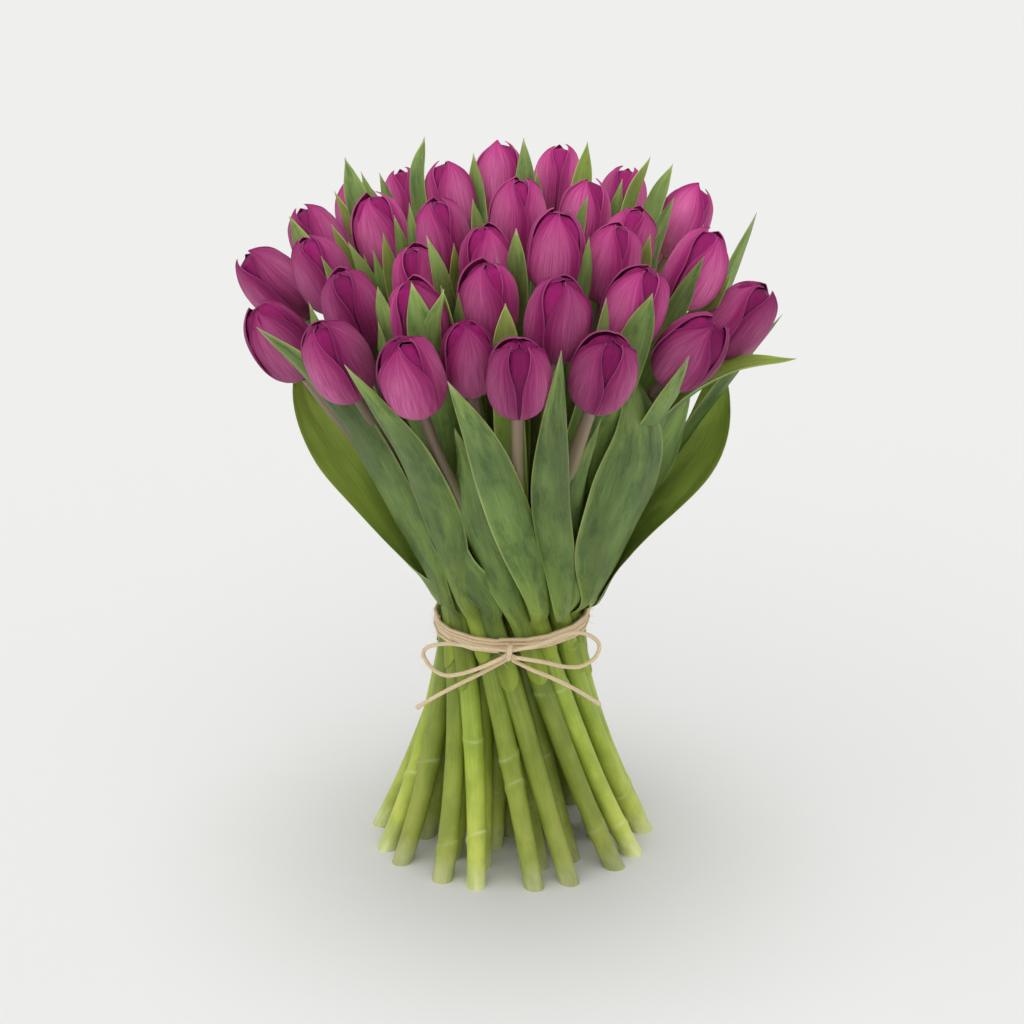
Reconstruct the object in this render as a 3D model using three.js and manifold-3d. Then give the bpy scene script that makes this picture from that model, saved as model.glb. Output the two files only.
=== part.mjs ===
// A hand-tied spiral bunch of 37 purple tulips, standing on its splayed cut ends.
// Millimetres, +Z up. The bow faces -Y. The origin lies under the middle of the bunch,
// on the surface that the cut ends stand on.

import * as THREE from "three";
import { mergeVertices } from "three/addons/utils/BufferGeometryUtils.js";
import Module from "manifold-3d";

const wasm = await Module();
wasm.setup();

// ---- Driving sizes ------------------------------------------------------------------

const GAP = 0.35; // air left between two pieces of the bunch
const MIDDLE = [-1.45, -2.14]; // x and y of the middle of the whole bunch, moved to the origin

const TIE_HEIGHT = 131; // where the twine goes round
const RING_RADII = [0, 11, 22.4, 33]; // of the rings of stems, at the tie
const RING_COUNTS = [1, 6, 12, 18];
const PAIR_SPACING = 8.9; // two stems of one pair, squeezed together by the twine
const MIDDLE_SHIFT = 3.2; // the middle stem off the axis, at the tie
const SPLAY = 0.002; // per mm below the tie, how fast the bundle widens
const SPLAY_MORE = 2.0e-5; // per square mm, the outward bend of the feet
const TWIST = 0.0091; // sideways slope of a stem at the tie, per mm from the axis
const OVAL = 0.1; // how much wider than deep the ring of feet is, as a share
const LEADS = [0, 22, 22, 20]; // degrees that a ring's stems lead their blooms round the axis

const STEM_SIDES = 6;
const STEM_MARGIN = 0.1; // more air round a stem, which bends between its sections
const STEM_RADIUS = { foot: 5.4, tie: 5.4, neck: 2.9 };
const FOOT_STEPS = [0, 0.5];
const RISE_STEPS = [0, 0.22, 0.45, 0.72, 1];

const BLOOM_LENGTH = 46;
const BLOOM_HALF_WIDTH = 15.3;
const BLOOM_BASE = 4.2; // radius of the flat seat on the stem
// Share of the length up the bloom, and share of the half width there.
const BLOOM_PROFILE = [
  [0, 0.27],
  [0.12, 0.76],
  [0.4, 1],
  [0.78, 0.79],
  [1, 0.38],
];
// One third of the bloom: angle in degrees, share of the radius, share of the top height.
const PETAL_COLUMNS = [
  [-48, 1, 0.93],
  [-16, 1.02, 1],
  [16, 1.02, 1],
  [48, 1, 0.93],
  [60, 0.84, 0.96],
];
const PETAL_GAP = 60; // degrees from the middle of an outer petal to the gap beside it
const PROUD_FROM = 0.4; // share of the length above which the outer petals stand fully proud
const CROWN_DEPTH = 0.15; // share of the length that the tips stand above the middle

const LEAF_THICKNESS = 0.8;
const LEAF_FLARE = 0.42; // share of the length where a leaf is widest
const LEAF_ROOT_HALF = 3.9; // half width where a leaf leaves its stem
const LEAF_CUP = 0.3; // depth of the channel, as a share of the half width
const LEAF_TAPER = 1.3; // how drawn out the tip is
const WAVE_PHASE = 2; // radians between the waves of the two edges
const NEAR = { along: 0.01, across: 0.05 }; // steps on the sheet that give its slope
const OUTER_LEAF_GRID = { steps: 6, columns: [-1, -0.4, 0.4, 1] };
const BACK_LEAF_GRID = { steps: 5, columns: [-1, 0, 1] };
const INNER_LEAF_GRID = { steps: 4, columns: [-1, 0, 1] };
const ROOT_HEIGHT = 142; // where the outer leaves leave their stems, just above the twine

const TWINE = 2.2; // diameter
const TWINE_SIDES = 8;
const TWINE_STEP = 7.5; // between the sections of a loose end
const WRAPS = 5;
const WRAP_PITCH = { front: 1.7, sides: 2.35 }; // strands are drawn together at the knot
const WRAP_GROOVE = 0.72; // depth between two strands, as a share of the twine
const WRAP_RISE = 1.2; // the wraps sit higher on the right than on the left
const LEAN_ROOM = 1.1; // a leaning stem is wider across the ring of twine
const WRAP_STEPS = 28;
const KNOT = { at: [-1.5, -44.9, 130], half: [3.35, 4.5, 5.75], facets: [8, 6] };

// ---- The tulips ---------------------------------------------------------------------

// Middle of each bloom in x, y, z, then the lean of its axis away from the bunch's
// middle in degrees, its size, and the turn of its first gap between petals in degrees
// from the front to the right.
const TULIPS = [
  [-120, 4, 311, 44, 1.0, 8],
  [-114, -36, 294, 32, 1.0, -62],
  [-82, -88, 300, 31, 1.03, 14],
  [-46, -112, 300, 28, 1.0, 34],
  [-20, -94, 303, 20, 0.9, -50],
  [3, -118, 301, 30, 0.98, 2],
  [42, -110, 301, 33, 1.0, 8],
  [84, -84, 303, 42, 1.0, 40],
  [111, -38, 305, 35, 1.0, -10],
  [-93, -26, 325, 24, 0.93, 20],
  [-76, -60, 316, 20, 0.96, 12],
  [-44, -80, 318, 19, 0.92, -30],
  [-11, -72, 324, 15, 0.95, 30],
  [21, -92, 321, 19, 1.0, -24],
  [58, -80, 324, 24, 0.98, 20],
  [89, -42, 332, 25, 0.95, -30],
  [-99, 22, 328, 26, 0.92, 10],
  [-65, -4, 340, 14, 0.92, 40],
  [-44, -52, 327, 15, 0.9, -10],
  [-34, -20, 341, 10, 0.92, 20],
  [-12, -46, 335, 11, 0.9, -35],
  [3, -12, 349, 4, 0.95, 15],
  [21, -60, 345, 13, 0.93, 50],
  [48, -44, 335, 14, 0.93, 10],
  [57, -14, 336, 14, 0.92, -15],
  [89, 34, 337, 26, 0.9, 25],
  [-56, 80, 335, 22, 0.88, 10],
  [-33, 42, 347, 11, 0.88, -20],
  [-6, 64, 352, 12, 0.9, 40],
  [24, 84, 346, 16, 0.9, 0],
  [37, 24, 341, 10, 0.9, 30],
  [57, 60, 340, 18, 0.88, -10],
  [-79, 48, 336, 20, 0.86, 20],
  [-94, 76, 301, 31, 0.95, 0],
  [-38, 114, 308, 30, 0.95, 30],
  [28, 114, 309, 30, 0.95, 10],
  [84, 84, 305, 31, 0.95, 50],
];

// ---- The leaves ---------------------------------------------------------------------

// Leaves round the outside: the tulip that each grows on, counted from 1, the spine in
// x, y, z from just above the twine to the tip, the full width, the way the outer face
// looks at the root and at the tip, and the height and number of the waves on the edge.
const OUTER_LEAVES = {
  far_left: {
    stem: 10,
    spine: [
      [-42, -18, 150], [-56, -22, 180], [-74, -20, 208], [-92, -12, 231], [-105, -4, 252],
      [-110, 6, 276],
    ],
    width: 46,
    face: [[-0.85, 0.1, -0.1], [-0.5, 0.75, -0.4]],
    wave: [2, 1.5],
  },
  left_long: {
    stem: 2,
    spine: [
      [-37, -33, 154], [-51, -50, 198], [-66, -64, 236], [-79, -73, 266], [-97, -74, 290],
      [-122, -64, 309],
    ],
    width: 26,
    face: [[-0.7, -0.7, 0], [-0.5, -0.85, 0]],
    wave: [1, 1],
  },
  left_front: {
    stem: 11,
    spine: [[-26, -42, 157], [-35, -66, 208], [-47, -94, 252], [-61, -114, 284], [-76, -118, 307]],
    width: 22,
    face: [[-0.4, -0.9, 0], [-0.3, -0.95, 0]],
    wave: [1, 1],
  },
  wavy_left: {
    stem: 3,
    spine: [[-13, -46, 156], [-27, -53, 182], [-38, -60, 207], [-47, -66, 232]],
    width: 20,
    face: [[-0.2, -1, 0], [-0.6, -0.8, 0]],
    wave: [3, 2],
  },
  wavy_middle: {
    stem: 4,
    spine: [[0, -47, 157], [-9, -57, 185], [-18, -70, 214], [-21, -83, 242], [-27, -93, 268]],
    width: 24,
    face: [[0, -1, 0], [-0.45, -0.9, 0]],
    wave: [3, 2],
  },
  middle_dark: {
    stem: 6,
    spine: [[16, -46, 152], [8, -62, 184], [-3, -86, 226], [-14, -110, 266], [-29, -130, 303]],
    width: 23,
    face: [[0.2, -1, 0], [0.1, -1, 0]],
    wave: [1.5, 1],
  },
  middle_upright: {
    stem: 7,
    spine: [[28, -43, 152], [24, -58, 184], [19, -84, 226], [19, -114, 270], [22, -132, 318]],
    width: 20,
    face: [[0.2, -1, 0], [0, -1, 0]],
    wave: [1, 1.5],
  },
  narrow: {
    stem: 7,
    spine: [[35, -38, 160], [31, -54, 200], [33, -70, 232], [42, -86, 270]],
    width: 11,
    face: [[0.3, -1, 0], [0.6, -0.8, 0]],
    wave: [0.5, 1],
  },
  right_broad: {
    stem: 15,
    spine: [[44, -32, 156], [50, -50, 190], [58, -64, 224], [62, -74, 258], [56, -76, 292]],
    width: 42,
    face: [[0.6, -0.8, 0], [0.35, -0.95, 0]],
    wave: [2, 1],
  },
  right_short: {
    stem: 15,
    spine: [[47, -27, 160], [60, -44, 210], [68, -62, 253], [74, -88, 280], [81, -108, 308]],
    width: 24,
    face: [[0.7, -0.7, 0], [0.4, -0.9, 0.1]],
    wave: [1, 1],
  },
  right_long: {
    stem: 8,
    spine: [[49, -20, 158], [60, -32, 208], [79, -44, 259], [106, -52, 284], [137, -60, 292]],
    width: 34,
    face: [[0.8, -0.6, 0], [0.2, 0.35, -0.9]],
    wave: [1.5, 1],
  },
  far_right: {
    stem: 16,
    spine: [
      [47, -13, 150], [57, -18, 178], [81, -12, 205], [100, -6, 228], [106, 2, 251], [106, 8, 276],
    ],
    width: 46,
    face: [[0.9, 0, -0.1], [0.5, 0.75, -0.4]],
    wave: [1.5, 1],
  },
  right_wavy: {
    stem: 8,
    spine: [[48, -24, 156], [62, -28, 205], [75, -31, 232], [84, -34, 254], [89, -38, 275]],
    width: 36,
    face: [[0.8, -0.6, 0], [0.5, -0.8, -0.2]],
    wave: [4, 1.5],
  },
  right_tip: {
    stem: 16,
    spine: [[50, -2, 160], [84, -6, 222], [112, -12, 268], [136, -10, 300]],
    width: 20,
    face: [[1, -0.2, 0], [0.5, -0.6, -0.6]],
    wave: [1, 1],
  },
  right_high: {
    stem: 9,
    spine: [[48, 12, 158], [80, 26, 230], [108, 36, 290], [128, 50, 338]],
    width: 26,
    face: [[1, 0, 0], [0.7, -0.7, 0]],
    wave: [1, 1],
  },
};

// Leaves round the back: direction from the axis in degrees, reach of the tip, its
// height, and the full width.
const BACK_LEAVES = [
  [52, 124, 322, 30],
  [76, 118, 300, 34],
  [98, 112, 336, 28],
  [120, 126, 296, 36],
  [142, 116, 330, 30],
  [162, 128, 304, 32],
];
const BACK_LEAF_SHARES = [[0, 150], [0.28, 196], [0.66, 250]]; // reach share, height
const BACK_LEAF_NOD = 0.3; // how far the tip turns its face down
const BACK_LEAF_WAVE = [2, 1.5];

// Tips of the narrow leaves that come up between the blooms: x, y, z and full width.
const INNER_TIPS = [
  [-45, 44, 379, 15],
  [-85, 30, 371, 17],
  [-68, 36, 362, 12],
  [-112, 8, 346, 18],
  [-89, -14, 347, 13],
  [-79, -38, 344, 12],
  [-62, -40, 349, 12],
  [-50, -24, 360, 12],
  [-40, -66, 354, 12],
  [-19, -33, 364, 14],
  [-20, 52, 369, 14],
  [6, 46, 378, 15],
  [2, -68, 358, 18],
  [-31, -102, 338, 12],
  [-46, -98, 340, 19],
  [-62, -90, 336, 18],
  [-3, -112, 334, 16],
  [-96, -70, 323, 12],
  [39, 46, 376, 15],
  [71, 38, 370, 16],
  [82, 30, 368, 15],
  [37, -20, 363, 13],
  [36, -68, 354, 13],
  [73, -20, 347, 15],
  [96, 2, 343, 13],
  [106, -42, 330, 20],
  [43, -102, 334, 13],
  [64, -102, 336, 20],
];
const INNER_ROOT_SHARE = 0.26; // where such a leaf leaves its stem, above the tie
const INNER_BEND_SHARE = 0.56; // how far up it still follows the stem
const INNER_BEND_OUT = 9; // its distance from the stem there
const INNER_DROP = 34; // the way between the blooms, measured down from the tip
const INNER_ROOM = 2.4; // least distance of its middle line from a neighbour
const INNER_WAVE = [0.6, 1.5];
const INNER_TURN = 1.5; // how far its tip turns a face to the front or the back
const ROOM_SHARE = 1.25; // half width allowed, as a share of the room beside it
const ROOT_SHARE = 0.1; // the foot of the blade, which grows out of the stem at full width
const LEAST_HALF = 0.8; // half width of a blade at its narrowest pass
const CLEAR_ROUNDS = 12; // turns of moving a point off its neighbours
const HELD_VOLUME = 1; // cubic mm of blade inside its stem that hold it there

// ---- The loose twine ----------------------------------------------------------------

// Middle line of each bow loop and loose end, from the knot.
const TWINE_ENDS = {
  bow_loop_left: [
    [-4.6, -47.6, 131.7], [-18, -48.5, 133.6], [-33, -44, 133.6], [-43.5, -35, 127.5],
    [-46.5, -30, 120.8], [-42, -33, 114.5], [-35, -39, 113.2], [-26, -45, 117],
    [-15, -49, 122.8], [-4.7, -49.4, 128.2],
  ],
  bow_loop_right: [
    [1.6, -47.6, 131.7], [14, -48, 135], [29, -41, 138], [39, -34.5, 134.5],
    [45.5, -29, 126.5], [44, -29.5, 119.5], [37, -33, 115.8], [28, -39, 118],
    [15, -47.5, 125], [1.7, -49.4, 128.2],
  ],
  twine_tail_left: [
    [-3.6, -46, 125], [-16, -44.5, 117], [-28, -41.5, 109], [-39, -38, 101], [-50, -34, 92],
  ],
  twine_tail_right: [
    [0.6, -46, 125], [10, -45.5, 119.6], [21, -43.5, 113.6], [33, -40, 105.5], [46, -34, 94],
  ],
};

// ---- Small helpers ------------------------------------------------------------------

const vec = (x, y, z) => new THREE.Vector3(x, y, z);
const radians = THREE.MathUtils.degToRad;
const mix = THREE.MathUtils.lerp;

// A turn of a flat point round the axis combined with a growth, as one number pair.
const spun = (x, y, grow, turn) => [x * grow - y * turn, x * turn + y * grow];

// A closed mesh from rings of equal point count, capped at both ends by fans.
function loft(rings) {
  const count = rings[0].length;
  const points = rings.flat();
  const faces = [];
  for (let r = 0; r + 1 < rings.length; r++) {
    for (let i = 0; i < count; i++) {
      const a = r * count + i;
      const b = r * count + ((i + 1) % count);
      faces.push([a, b, b + count], [a, b + count, a + count]);
    }
  }
  const last = (rings.length - 1) * count;
  for (let i = 1; i + 1 < count; i++) {
    faces.push([0, i + 1, i], [last, last + i, last + i + 1]);
  }
  return shape(points, faces);
}

function shape(points, faces) {
  const geometry = new THREE.BufferGeometry();
  geometry.setAttribute(
    "position",
    new THREE.Float32BufferAttribute(points.flatMap((p) => p.toArray()), 3),
  );
  geometry.setIndex(faces.flat());
  return geometry;
}

function solid(geometry) {
  const bare = geometry.clone();
  bare.deleteAttribute("normal");
  bare.deleteAttribute("uv");
  const merged = mergeVertices(bare, 1e-4);
  return new wasm.Manifold(
    new wasm.Mesh({
      numProp: 3,
      vertProperties: merged.attributes.position.array,
      triVerts: new Uint32Array(merged.index.array),
    }),
  );
}

function geometryOf(body) {
  const mesh = body.getMesh();
  const geometry = new THREE.BufferGeometry();
  geometry.setAttribute("position", new THREE.Float32BufferAttribute(mesh.vertProperties, 3));
  geometry.setIndex([...mesh.triVerts]);
  return geometry;
}

function largest(body) {
  const pieces = body.decompose();
  return pieces.reduce((a, b) => (b.volume() > a.volume() ? b : a));
}

// ---- Stems --------------------------------------------------------------------------

function bloomAxis([x, y, , lean]) {
  const flat = vec(x, y, 0).normalize();
  return flat.multiplyScalar(Math.sin(radians(lean))).setZ(Math.cos(radians(lean)));
}

function bloomBase(tulip) {
  const half = (BLOOM_LENGTH * tulip[4]) / 2;
  return vec(...tulip.slice(0, 3)).addScaledVector(bloomAxis(tulip), -half);
}

const around = ([x, y]) => Math.atan2(y, x);

// The stems stand in rings at the tie: the outer blooms have the outer stems, in the
// same order round the axis, and each ring is taken in pairs that touch.
function seatStems() {
  const order = TULIPS.map((_, i) => i);
  order.sort((a, b) => Math.hypot(...TULIPS[a].slice(0, 2)) - Math.hypot(...TULIPS[b].slice(0, 2)));
  const seats = [];
  RING_COUNTS.forEach((count, ring) => {
    const members = order.splice(0, count);
    members.sort((a, b) => around(TULIPS[a]) - around(TULIPS[b]));
    const radius = RING_RADII[ring];
    const step = (2 * Math.PI) / count;
    const drift = members.map((m, i) => {
      const off = around(TULIPS[m]) - i * step;
      return Math.atan2(Math.sin(off), Math.cos(off));
    });
    const start = Math.atan2(
      drift.reduce((s, d) => s + Math.sin(d), 0),
      drift.reduce((s, d) => s + Math.cos(d), 0),
    );
    const squeeze = ring ? step / 2 - Math.asin(PAIR_SPACING / 2 / radius) : 0;
    members.forEach((m, i) => {
      const angle = start + radians(LEADS[ring]) + i * step + (i % 2 ? -squeeze : squeeze);
      seats[m] = {
        ring,
        pair: i >> 1,
        at: [radius * Math.cos(angle), radius * Math.sin(angle)],
      };
    });
  });
  leanOnFirstPair(seats);
  return seats;
}

// The middle stem is pushed against the first pair of the ring round it.
function leanOnFirstPair(seats) {
  const pair = seats.filter((seat) => seat.ring === 1 && seat.pair === 0);
  const toward = vec(...pair[0].at, 0).add(vec(...pair[1].at, 0)).normalize();
  seats.find((seat) => seat.ring === 0).at = [toward.x * MIDDLE_SHIFT, toward.y * MIDDLE_SHIFT];
}

const SEATS = seatStems();

// Centre of a stem at a height below the tie.
function footPoint(seat, z) {
  const down = TIE_HEIGHT - z;
  const grow = 1 + SPLAY * down + SPLAY_MORE * down * down;
  const [x, y] = spun(...seat.at, grow, TWIST * down);
  const oval = OVAL * (down / TIE_HEIGHT) ** 2;
  return vec(x * (1 + oval), y * (1 - oval / 2), z);
}

// Centre of a stem above the tie: share 0 is the tie, share 1 the seat of the bloom.
function risePoint(tulip, seat, share) {
  const axis = bloomAxis(tulip);
  const end = bloomBase(tulip).addScaledVector(axis, -GAP);
  const height = end.z - TIE_HEIGHT;
  const [sx, sy] = spun(...seat.at, -SPLAY, -TWIST);
  const s = share;
  const h10 = s * (1 - s) * (1 - s);
  const h01 = s * s * (3 - 2 * s);
  const h11 = s * s * (s - 1);
  const flat = (from, slope, to, lean) =>
    (1 - h01) * from + h10 * height * slope + h01 * to + h11 * height * lean;
  return vec(
    flat(seat.at[0], sx, end.x, axis.x / axis.z),
    flat(seat.at[1], sy, end.y, axis.y / axis.z),
    TIE_HEIGHT + s * height,
  );
}

function stemStations(tulip, seat) {
  const { foot, tie, neck } = STEM_RADIUS;
  const below = FOOT_STEPS.map((s) => ({
    at: footPoint(seat, s * TIE_HEIGHT),
    radius: mix(foot, tie, s),
  }));
  const above = RISE_STEPS.map((s) => ({
    at: risePoint(tulip, seat, s),
    radius: mix(tie, neck, s),
  }));
  return [...below, ...above];
}

function stemGeometry(tulip, seat, grow = 0) {
  const stations = stemStations(tulip, seat);
  const last = stations.length - 1;
  const axis = bloomAxis(tulip);
  let side = vec(1, 0, 0);
  const rings = stations.map(({ at, radius }, k) => {
    const next = stations[Math.min(k + 1, last)].at;
    const before = stations[Math.max(k - 1, 0)].at;
    const along = k === last ? axis : next.clone().sub(before).normalize();
    side = side.addScaledVector(along, -side.dot(along)).normalize();
    const other = along.clone().cross(side);
    return Array.from({ length: STEM_SIDES }, (_, i) => {
      const angle = (2 * Math.PI * i) / STEM_SIDES;
      const point = at
        .clone()
        .addScaledVector(side, (radius + grow) * Math.cos(angle))
        .addScaledVector(other, (radius + grow) * Math.sin(angle));
      if (k === 0) point.addScaledVector(along, -point.z / along.z); // the flat cut
      return point;
    });
  });
  return loft(rings);
}

// ---- Blooms -------------------------------------------------------------------------

// Closed bud: three outer petals stand proud of the inner ones, which show in the gaps.
function bloomGeometry([, , , , size, turn], grow = 0) {
  const columns = [0, 120, 240].flatMap((third) =>
    PETAL_COLUMNS.map(([angle, share, top]) => [third + angle + turn + PETAL_GAP, share, top]),
  );
  const rings = BLOOM_PROFILE.map(([up, wide], row) =>
    columns.map(([angle, share, top]) => {
      const last = row === BLOOM_PROFILE.length - 1;
      const proud = row === 0 ? 1 : mix(1, share, Math.min(1, up / PROUD_FROM));
      const radius = (row === 0 ? BLOOM_BASE : BLOOM_HALF_WIDTH * wide * proud) * size + grow;
      const height = BLOOM_LENGTH * size * (last ? top : up) + (last ? grow : -grow);
      const a = radians(angle);
      return vec(radius * Math.sin(a), -radius * Math.cos(a), height);
    }),
  );
  const count = columns.length;
  const points = rings.flat();
  const faces = [];
  for (let r = 0; r + 1 < rings.length; r++) {
    for (let i = 0; i < count; i++) {
      const a = r * count + i;
      const b = r * count + ((i + 1) % count);
      faces.push([a, b, b + count], [a, b + count, a + count]);
    }
  }
  for (let i = 1; i + 1 < count; i++) faces.push([0, i + 1, i]);
  const crown = points.push(vec(0, 0, BLOOM_LENGTH * size * (1 - CROWN_DEPTH) + grow)) - 1;
  const last = (rings.length - 1) * count;
  for (let i = 0; i < count; i++) faces.push([last + i, last + ((i + 1) % count), crown]);
  return shape(points, faces);
}

// Frame of a bloom: z along its axis, -y as near to the front as the axis allows.
function bloomMatrix(tulip) {
  const up = bloomAxis(tulip);
  const right = vec(0, 1, 0).cross(up).normalize();
  const back = up.clone().cross(right);
  return new THREE.Matrix4().makeBasis(right, back, up).setPosition(bloomBase(tulip));
}

// ---- Leaves -------------------------------------------------------------------------

// Distance of a point from a bloom, taken as an egg, and the way out of it.
function beyondBloom(point, tulip) {
  const [x, y, z, , size] = tulip;
  const axis = bloomAxis(tulip);
  const offset = point.clone().sub(vec(x, y, z));
  const along = offset.dot(axis);
  const away = offset.clone().addScaledVector(axis, -along);
  const half = (BLOOM_LENGTH / 2) * size;
  const wide = BLOOM_HALF_WIDTH * size;
  const level = Math.hypot(along / half, away.length() / wide);
  return { distance: offset.length() * (1 - 1 / level), out: away.normalize() };
}

function stemPoint(i, z) {
  if (z <= TIE_HEIGHT) return footPoint(SEATS[i], z);
  const top = bloomBase(TULIPS[i]).z;
  return risePoint(TULIPS[i], SEATS[i], Math.min(1, (z - TIE_HEIGHT) / (top - TIE_HEIGHT)));
}

function stemRadius(i, z) {
  const top = bloomBase(TULIPS[i]).z;
  return mix(STEM_RADIUS.tie, STEM_RADIUS.neck, Math.min(1, (z - TIE_HEIGHT) / (top - TIE_HEIGHT)));
}

function beyondStem(point, i) {
  const centre = stemPoint(i, point.z);
  const away = point.clone().sub(centre).setZ(0);
  const over = Math.max(0, point.z - bloomBase(TULIPS[i]).z);
  return { distance: away.length() - stemRadius(i, point.z) + over, out: away.normalize() };
}

// Moves a spine point off the blooms and off every stem but its own.
function clearOf(point, own, room) {
  for (let round = 0; round < CLEAR_ROUNDS; round++) {
    TULIPS.forEach((tulip, i) => {
      const bloom = beyondBloom(point, tulip);
      if (bloom.distance < room) point.addScaledVector(bloom.out, room - bloom.distance);
      if (i === own) return;
      const stem = beyondStem(point, i);
      if (stem.distance < room) point.addScaledVector(stem.out, room - stem.distance);
    });
  }
  return point;
}

function roomAt(point, own) {
  let room = Infinity;
  TULIPS.forEach((tulip, i) => {
    room = Math.min(room, beyondBloom(point, tulip).distance);
    if (i !== own) room = Math.min(room, beyondStem(point, i).distance);
  });
  return Math.max(0, room);
}

// Half width along a leaf: a clasping root, the flare, and a long drawn tip.
function leafHalf(width, u) {
  if (u < LEAF_FLARE) {
    const s = u / LEAF_FLARE;
    return mix(LEAF_ROOT_HALF, Math.max(width / 2, LEAF_ROOT_HALF), s * s * (3 - 2 * s));
  }
  const s = (u - LEAF_FLARE) / (1 - LEAF_FLARE);
  return Math.max(width / 2, LEAF_ROOT_HALF) * Math.cos((Math.PI / 2) * s ** LEAF_TAPER);
}

// A leaf as a closed blade: a grid of points on its middle sheet, then both faces.
function leafGeometry({ curve, half, face, wave, grid }, grow = 0) {
  const { steps, columns } = grid;
  const middle = (u, s) => {
    const at = curve.getPoint(u);
    const along = curve.getTangent(u);
    const out = face[0].clone().lerp(face[1], u);
    out.addScaledVector(along, -out.dot(along)).normalize();
    const side = along.clone().cross(out);
    const reach = half(u) + grow;
    const swell = Math.sin(Math.PI * u);
    const ripple = wave[0] * swell * Math.sin(2 * Math.PI * wave[1] * u + (s > 0 ? WAVE_PHASE : 0));
    const cup = LEAF_CUP * THREE.MathUtils.smoothstep(u, 0, LEAF_FLARE);
    const lift = (ripple - cup * reach) * s * s;
    return at.addScaledVector(side, reach * s).addScaledVector(out, lift);
  };
  const sheet = (lift) =>
    Array.from({ length: steps }, (_, k) =>
      columns.map((s) => {
        const u = k / steps;
        const point = middle(u, s);
        const along = middle(Math.min(1, u + NEAR.along), s);
        along.sub(middle(Math.max(0, u - NEAR.along), s));
        const across = middle(u, Math.min(1, s + NEAR.across));
        across.sub(middle(u, Math.max(-1, s - NEAR.across)));
        return point.addScaledVector(along.cross(across).normalize(), lift);
      }),
    );
  const lift = LEAF_THICKNESS / 2 + grow;
  const tipOut = face[1].clone().normalize();
  const tip = curve.getPoint(1).addScaledVector(curve.getTangent(1), grow);
  const upper = sheet(-lift).flat();
  const lower = sheet(lift).flat();
  upper.push(tip.clone().addScaledVector(tipOut, lift / 2));
  lower.push(tip.clone().addScaledVector(tipOut, -lift / 2));
  const wide = columns.length;
  const half1 = upper.length;
  const faces = [];
  const both = (a, b, c) => faces.push([a, b, c], [half1 + a, half1 + c, half1 + b]);
  for (let k = 0; k + 1 < steps; k++) {
    for (let i = 0; i + 1 < wide; i++) {
      const a = k * wide + i;
      both(a, a + 1, a + wide + 1);
      both(a, a + wide + 1, a + wide);
    }
  }
  const row = (steps - 1) * wide;
  for (let i = 0; i + 1 < wide; i++) both(row + i, row + i + 1, half1 - 1);
  const rim = [];
  for (let k = 0; k < steps; k++) rim.push(k * wide);
  rim.push(half1 - 1);
  for (let k = steps - 1; k >= 0; k--) rim.push(k * wide + wide - 1);
  for (let i = wide - 2; i > 0; i--) rim.push(i);
  rim.forEach((a, i) => {
    const b = rim[(i + 1) % rim.length];
    faces.push([a, b, half1 + b], [a, half1 + b, half1 + a]);
  });
  return shape([...upper, ...lower], faces);
}

const throughPoints = (points) => new THREE.CatmullRomCurve3(points, false, "catmullrom", 0.5);

function outerLeaf({ stem, spine, width, face, wave }) {
  const own = stem - 1;
  const curve = throughPoints([stemPoint(own, ROOT_HEIGHT), ...spine.map((p) => vec(...p))]);
  const half = (u) => leafHalf(width, u);
  return { own, curve, half, face: face.map((f) => vec(...f)), wave, grid: OUTER_LEAF_GRID };
}

function nearestOuterStem(point) {
  const distance = (i) => stemPoint(i, point.z).distanceTo(point);
  const choice = TULIPS.map((_, i) => i).filter((i) => SEATS[i].ring === RING_COUNTS.length - 1);
  return 1 + choice.reduce((a, b) => (distance(b) < distance(a) ? b : a));
}

function backLeaf([angle, reach, top, width]) {
  const out = vec(Math.cos(radians(angle)), Math.sin(radians(angle)), 0);
  const waist = RING_RADII.at(-1) + STEM_RADIUS.tie;
  const spine = [...BACK_LEAF_SHARES, [1, top]].map(([share, z]) =>
    out.clone().multiplyScalar(mix(waist, reach, share)).setZ(z).toArray(),
  );
  const face = [out.toArray(), out.clone().setZ(-BACK_LEAF_NOD).toArray()];
  const stem = nearestOuterStem(vec(...spine[0]));
  return { ...outerLeaf({ stem, spine, width, face, wave: BACK_LEAF_WAVE }), grid: BACK_LEAF_GRID };
}

// A leaf between the blooms: it follows its own stem, then passes beside its own bloom.
function innerLeaf([x, y, z, width]) {
  const tip = vec(x, y, z);
  const distance = (i) => beyondBloom(tip, TULIPS[i]).distance;
  const own = TULIPS.map((_, i) => i).reduce((a, b) => (distance(b) < distance(a) ? b : a));
  const axis = bloomAxis(TULIPS[own]);
  const passing = clearOf(tip.clone().addScaledVector(axis, -INNER_DROP), own, INNER_ROOM + 1);
  const centre = vec(...TULIPS[own].slice(0, 3));
  const out = passing.clone().sub(centre);
  out.addScaledVector(axis, -out.dot(axis)).normalize();
  const bend = risePoint(TULIPS[own], SEATS[own], INNER_BEND_SHARE);
  clearOf(bend.addScaledVector(out, INNER_BEND_OUT), own, INNER_ROOM);
  const root = risePoint(TULIPS[own], SEATS[own], INNER_ROOT_SHARE);
  clearOf(tip, -1, INNER_ROOM / 2);
  const curve = throughPoints([root, bend, passing, tip]);
  const half = (u) => {
    const room = roomAt(curve.getPoint(u), own) * ROOM_SHARE;
    return Math.min(leafHalf(width, u), u < ROOT_SHARE ? Infinity : Math.max(LEAST_HALF, room));
  };
  const turned = out.clone().addScaledVector(vec(0, Math.sign(out.y), 0), INNER_TURN).normalize();
  return { own, curve, half, face: [out, turned], wave: INNER_WAVE, grid: INNER_LEAF_GRID };
}

const LEAVES = [
  ...Object.values(OUTER_LEAVES).map(outerLeaf),
  ...BACK_LEAVES.map(backLeaf),
  ...INNER_TIPS.map(innerLeaf),
];

// ---- Twine --------------------------------------------------------------------------

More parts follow.
